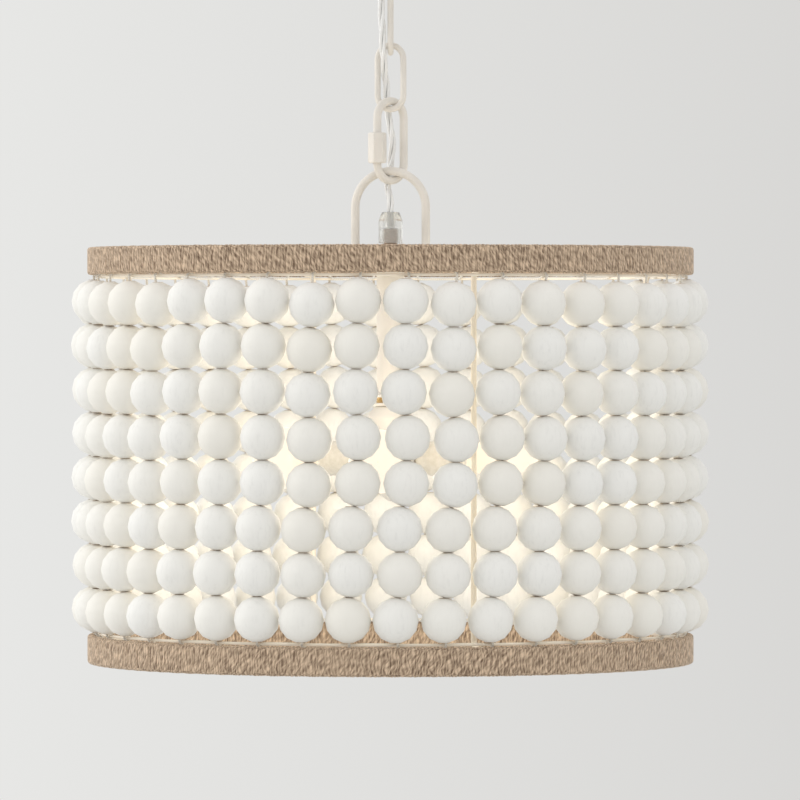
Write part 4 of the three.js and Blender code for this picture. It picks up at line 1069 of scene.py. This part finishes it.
class CHANDELIER_OT_frame(Builder, bpy.types.Operator):
    """Makes the spider plate, the four struts and the two wires that carry the beads"""
    bl_idname = "chandelier.frame"
    bl_label = "Frame"

    def build(self, context, settings):
        self.spider(settings.finish_of_paint())
        # The struts and wires get a lighter, warmer copy of the cream paint, as painted bulb light.
        light = paint_finish("cream_paint_with_painted_glow", settings.finish.inner)
        for index in range(4):
            self.strut(index, light)
        for name, node, z in (("top_wire_ring", "top_bead_wire", TOP_WIRE),
                              ("bottom_wire_ring", "bottom_bead_wire", BOTTOM_WIRE)):
            wire = swept(drum(WIRE_CIRCLE, steps_round(240), z), WIRE_RADIUS, 10, True, (0, 0, 1))
            Form().add(wire * MM, loop=True).settle(
                name, [light], "shade", "cream_paint", node, sharp=60)

    def spider(self, paint):
        """The plate's edge is the greater of the hub's circle and of four arms' outline: an
        arm's side is half its width over the sine of the angle from its middle line, cut off
        at its reach over the cosine."""
        half = SPIDER_ARM / 2
        tip = math.atan2(half, SPIDER_REACH)
        root = math.asin(half / SPIDER_HUB)
        quarter = np.concatenate([
            np.linspace(0, tip, 4), np.geomspace(tip, root, 22)[1:],
            np.linspace(root, TURN / 4 - root, 12)[1:-1],
            TURN / 4 - np.geomspace(tip, root, 22)[::-1], TURN / 4 - np.linspace(tip, 0, 4)[1:-1],
        ])
        a = np.concatenate([quarter + TURN / 4 * k for k in range(4)])
        off = np.abs((a + TURN / 8) % (TURN / 4) - TURN / 8)
        arm = np.minimum(half / np.maximum(np.sin(off), 1e-6), SPIDER_REACH / np.cos(off))
        edge = np.maximum(SPIDER_HUB, arm)
        bore, bevel = np.full_like(a, BUSH_BORE), SPIDER_BEVEL
        r = np.stack([bore, edge - bevel, edge, edge, edge - bevel, bore], 1)
        z = np.array([SPIDER_FOOT, SPIDER_FOOT, SPIDER_FOOT + bevel, SPIDER_TOP - bevel,
                      SPIDER_TOP, SPIDER_TOP])
        plate = yawed(drum(r, a[:, None], z), STRUT_ANGLE - 90)
        Form().add(plate * MM, loop=True).settle(
            "spider_plate", [paint], "shade", "cream_paint", "top_spider", sharp=30)

    def strut(self, index, paint):
        centre = STRUT_CIRCLE + STRUT_BEND
        path = np.vstack([
            [[STRUT_END, 0, STRUT_TOP]],
            arc(centre, STRUT_TOP - STRUT_BEND, STRUT_BEND, 0.25, 0.5, 8),
            arc(centre, STRUT_FOOT + STRUT_BEND, STRUT_BEND, 0.5, 0.75, 8),
            [[STRUT_END, 0, STRUT_FOOT]],
        ])
        rod = yawed(swept(path, STRUT_RADIUS, 16), STRUT_ANGLE - 90 + 90 * index)
        Form().add(rod * MM).settle(f"strut_rod_{index + 1}", [paint], "shade", "cream_paint",
                                    f"strut_{index + 1}", sharp=50)


class CHANDELIER_OT_beads(Builder, bpy.types.Operator):
    """Strings the beads: each string comes over the upper wire, down through eight beads, round
    the lower wire and up through eight more"""
    bl_idname = "chandelier.beads"
    bl_label = "Beads"

    def build(self, context, settings):
        beads = settings.beads
        wood = wood_finish(settings.finish.wood)
        cotton = string_finish(settings.finish.string)
        shape = bead_shape(beads)
        ends = np.abs(shape[..., 2]).ravel() / (beads.height / 2)
        aside, outward = strays(beads)
        chance = np.random.default_rng(beads.seed + 1)
        first = FACING_VIEWER + math.radians(FIRST_COLUMN_ANGLE) + COLUMN_STEP
        share = 1 - np.random.default_rng(beads.seed + 2).uniform(0, beads.spread, COLUMNS)
        row = np.arange(ROWS)
        pitch = beads.height * share + BEAD_PLAY * MM
        row_z = BEAD_FOOT * MM + pitch[:, None] * (ROWS - 0.5 - row)
        swing = beads.twist * (0.5 - (row + 0.5) / ROWS)
        for pair in range(COLUMNS // 2):
            label = f"{pair + 1:02d}"
            columns = [2 * pair, 2 * pair + 1]
            line = first + COLUMN_STEP * np.array(columns)
            azimuth = line[:, None] + swing + aside[:, columns].T / (BEAD_CIRCLE * MM)
            radius = BEAD_CIRCLE * MM + outward[:, columns].T
            centres = drum(radius, azimuth, row_z[columns])
            form, grains, tones = Form(), [], []
            heights = np.repeat(share[columns], ROWS)
            for centre, height in zip(centres.reshape(-1, 3), heights):
                local, grain = self.lean(shape * (1, 1, height), beads.tilt, chance)
                form.add(local + centre)
                grains.append(grain.reshape(-1, 3))
                tones.append(np.full(grains[-1].shape[0], chance.random() ** 1.5))
            fields = {"grain": np.vstack(grains), "tone": np.concatenate(tones),
                      "end": np.tile(ends, len(grains))}
            form.settle("beads_" + label, [wood], "shade", "painted_wood",
                        "bead_strings_" + label, sharp=62, attributes=fields)
            self.string(label, centres, line, beads.twist / 2, cotton)

    def lean(self, shape, tilt, chance):
        """One bead turned at random about its string, and leant a little. Its grain is its own
        place before that, moved far away at random."""
        spin = chance.uniform(0, TURN)
        lean = chance.normal(0, tilt / 2)
        toward = chance.uniform(0, TURN)
        spun = yawed(shape, math.degrees(spin))
        axis = np.array([math.cos(toward), math.sin(toward), 0])
        leant = (spun * math.cos(lean) + np.cross(axis, spun) * math.sin(lean)
                 + axis * (spun @ axis)[..., None] * (1 - math.cos(lean)))
        return leant, shape + chance.uniform(-3, 3, 3)

    def string(self, label, centres, azimuths, turn, cotton):
        """The string's middle line is a smooth curve through its bead centres, round the lower
        wire, and over the upper wire to a turn behind it at each end. The upper turns lie on
        round the drum by one angle and the lower turns back by the same."""
        loop = (BEAD_CIRCLE - WIRE_CIRCLE) * MM
        radii = np.array([WIRE_CIRCLE * MM - loop, WIRE_CIRCLE * MM, BEAD_CIRCLE * MM,
                          BEAD_CIRCLE * MM])
        beside = 2 * STRING_RADIUS / WIRE_CIRCLE

        def hook(azimuth, side, wire, past, edge):
            """Four points from behind a wire, past it and on to the beads."""
            return drum(radii, azimuth + np.array([side * beside, 0, 0, 0]),
                        np.array([wire, wire + past, wire, edge]))

        upper = TOP_WIRE * MM, loop, BEAD_TOP * MM
        lower = BOTTOM_WIRE * MM, -loop, BEAD_FOOT * MM
        a, b = azimuths + turn
        back_a, back_b = azimuths - turn
        tail = COLUMN_STEP / 2 - STRING_END_GAP
        path = smooth(np.vstack([
            drum(radii[0], a - tail, upper[0]), hook(a, -1, *upper), centres[0],
            hook(back_a, 1, *lower)[::-1], hook(back_b, -1, *lower), centres[1][::-1],
            hook(b, 1, *upper)[::-1], drum(radii[0], b + tail, upper[0]),
        ]), 5)
        middle = (back_a + back_b) / 2
        reference = drum(1, middle, 0.8) + drum(0.9, middle + TURN / 4, 0)
        run = distance_run(path)
        string = swept(path, STRING_RADIUS * MM, 8, reference=reference)
        Form().add(string, u=np.append(run, run[-1]),
                   v=np.linspace(0, TURN * STRING_RADIUS * MM, 9)).settle(
            "cotton_string_" + label, [cotton], "shade", "painted_wood", sharp=80)


class CHANDELIER_OT_cluster(Builder, bpy.types.Operator):
    """Turns the stem, the hub, the finial, the sockets and the lit bulbs"""
    bl_idname = "chandelier.cluster"
    bl_label = "Light cluster"

    def build(self, context, settings):
        paint = settings.finish_of_paint()
        brass = metal_finish("bulb_base_brass")
        self.stem(paint, brass)
        hub = rounded([
            (HUB_POLE, HUB_FOOT), (HUB_RADIUS, HUB_FOOT), (HUB_RADIUS, HUB_TOP - HUB_SHOULDER),
            (HUB_NECK, HUB_TOP), (HUB_POLE, HUB_TOP),
        ], 1.6, 5)
        knob = smooth([(radius, 0, FINIAL_TOP - FINIAL_HEIGHT * (1 - rise))
                       for radius, rise in FINIAL_OUTLINE], 5)[:, [0, 2]]
        for name, node, profile in (("hub_body", "cluster_hub", hub),
                                    ("finial_knob", "finial", knob)):
            lathed(profile, 64, False).settle(name, [paint], "shade", "cream_paint", node)
        shell = shell_finish()
        glass = bulb_finish(settings.finish.bulb, settings.finish.glow)
        for index, body in enumerate(("near_bulb", "right_bulb", "left_bulb")):
            yaw = NEAR_BULB_ANGLE - 90 + 360 / BULB_COUNT * index
            self.socket(index + 1, yaw, shell)
            self.bulb(index + 1, yaw, [glass, brass], body)
            self.lamp(index + 1, yaw, settings.finish, body)

    def stem(self, paint, brass):
        """A tube with two check rings at its foot, and a brass thread between the rings."""
        lines = np.cumsum([STEM_FOOT, CHECK_RING_HEIGHT, CHECK_RING_GAP, CHECK_RING_HEIGHT])
        tube = rounded_ring([
            (STEM_BORE, STEM_TOP - 3), (STEM_BORE, lines[0]), (CHECK_RING_RADIUS, lines[0]),
            (CHECK_RING_RADIUS, lines[1]), (STEM_RADIUS, lines[1]), (STEM_RADIUS, lines[2]),
            (CHECK_RING_RADIUS, lines[2]), (CHECK_RING_RADIUS, lines[3]),
            (STEM_RADIUS, lines[3]), (STEM_RADIUS, STEM_TOP), (STEM_BORE, STEM_TOP),
        ], 0.5)
        joint = threaded_tube(STEM_BORE + 1, STEM_RADIUS + 0.5, 0.4, 0.9,
                              lines[1] + 0.1, lines[2] - 0.1)
        form = lathed(tube, 64).add(turned(np.array(joint) * MM, 64), loop=True, finish=1)
        form.settle("stem_tube", [paint, brass], "shade", "cream_paint", "stem")

    def lay(self, grid, distance, yaw):
        """Lays a form turned about Z along the arm: its height becomes distance from the hub."""
        laid = np.stack([grid[..., 2] + distance, grid[..., 1], -grid[..., 0] + BULB_AXIS], -1)
        return yawed(laid, yaw) * MM

    def socket(self, number, yaw, shell):
        inside = SOCKET_LENGTH - SOCKET_BORE_DEPTH
        profile = rounded([
            (POLE, 0), (SOCKET_NECK, 0), (SOCKET_NECK, 8), (SOCKET_RADIUS - 0.6, 14),
            (SOCKET_RADIUS - 0.6, SOCKET_LENGTH - 3), (SOCKET_RADIUS, SOCKET_LENGTH - 2.4),
            (SOCKET_RADIUS, SOCKET_LENGTH), (SOCKET_BORE, SOCKET_LENGTH), (SOCKET_BORE, inside),
            (POLE, inside),
        ], 1.2, 4)
        Form().add(self.lay(turned(profile, 48), SOCKET_START, yaw)).settle(
            f"socket_shell_{number}", [shell], "shade", "socket_shell", f"socket_{number}")

    def bulb(self, number, yaw, finishes, body):
        """A threaded base, and a glass whose map runs from 0 at the neck to 1 at the globe."""
        base = [
            (POLE, 0), (3.2, 0.2), (4.6, 1.6),
            *thread(BULB_BASE, 0.45, 1.8, 2.6, BULB_BASE_LENGTH - 1),
            (BULB_BASE - 0.1, BULB_BASE_LENGTH - 0.4), (POLE, BULB_BASE_LENGTH - 0.4),
        ]
        globe = arc(0, GLOBE_CENTRE, BULB_GLOBE, -0.95 / TURN, 0.25 - 0.02 / TURN, 21)
        neck = smooth([(BULB_BASE - 0.3, 0, BULB_BASE_LENGTH), (6.6, 0, 20.5), (8.2, 0, 25),
                       (10.4, 0, 31), globe[0]], 5)
        outline = np.vstack([[(POLE, 0, BULB_BASE_LENGTH)], neck[:-1], globe])[:, [0, 2]]
        lit = (outline[:, 1] - BULB_BASE_LENGTH) / (GLOBE_CENTRE - BULB_BASE_LENGTH)
        form = Form().add(self.lay(turned(base, 40), BULB_START, yaw), finish=1)
        form.add(self.lay(turned(outline, 40), BULB_START, yaw), u=np.minimum(lit, 1))
        piece = form.settle(f"lit_bulb_{number}", finishes, body, "bulb_glass",
                            f"bulb_{number}")
        piece.visible_shadow = False

    def lamp(self, number, yaw, finish, body):
        """Puts a small lamp in the middle of a globe, whose light the frosted glass lets out."""
        lamp = bpy.data.lights.new(f"bulb_light_{number}", "POINT")
        lamp.energy, lamp.color = finish.bulb_power, finish.bulb[:3]
        lamp.shadow_soft_size = (BULB_GLOBE - 2) * MM
        light = placed(lamp.name, lamp, self.lay(np.array([0, 0, GLOBE_CENTRE]), BULB_START, yaw))
        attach(light, body)


class ChandelierSettings(bpy.types.PropertyGroup):
    beads: PointerProperty(type=BeadSettings)
    rims: PointerProperty(type=RimSettings)
    cord: PointerProperty(type=CordSettings)
    finish: PointerProperty(type=FinishSettings)
    stage: PointerProperty(type=StageSettings)

    def finish_of_paint(self):
        """The cream paint, made once and shared by every painted piece."""
        made = bpy.data.materials.get("satin_cream_paint")
        return made or paint_finish("satin_cream_paint", self.finish.paint)


class VIEW3D_PT_chandelier(bpy.types.Panel):
    """Lists the chandelier's sizes, colours and building steps"""
    bl_label = "Beaded Chandelier"
    bl_space_type = "VIEW_3D"
    bl_region_type = "UI"
    bl_category = "Chandelier"

    def draw(self, context):
        settings = context.scene.chandelier
        for group in (settings.beads, settings.rims, settings.cord, settings.finish,
                      settings.stage):
            box = self.layout.box()
            for key in group.__annotations__:
                box.prop(group, key)
        for operator in OPERATORS:
            self.layout.operator(operator.bl_idname)


OPERATORS = (
    CHANDELIER_OT_stage,
    CHANDELIER_OT_cord,
    CHANDELIER_OT_ceiling_plate,
    CHANDELIER_OT_canopy,
    CHANDELIER_OT_chain,
    CHANDELIER_OT_grip,
    CHANDELIER_OT_rims,
    CHANDELIER_OT_frame,
    CHANDELIER_OT_beads,
    CHANDELIER_OT_cluster,
)
CLASSES = (
    BeadSettings, RimSettings, CordSettings, FinishSettings, StageSettings, ChandelierSettings,
    *OPERATORS, VIEW3D_PT_chandelier,
)


def register():
    for item in CLASSES:
        bpy.utils.register_class(item)
    bpy.types.Scene.chandelier = PointerProperty(type=ChandelierSettings)


def unregister():
    del bpy.types.Scene.chandelier
    for item in reversed(CLASSES):
        bpy.utils.unregister_class(item)


def main():
    register()
    bpy.ops.chandelier.stage()
    bpy.ops.chandelier.cord()
    bpy.ops.chandelier.ceiling_plate()
    bpy.ops.chandelier.canopy()
    bpy.ops.chandelier.chain()
    bpy.ops.chandelier.grip()
    bpy.ops.chandelier.rims()
    bpy.ops.chandelier.frame()
    bpy.ops.chandelier.beads()
    bpy.ops.chandelier.cluster()


if __name__ == "__main__":
    main()
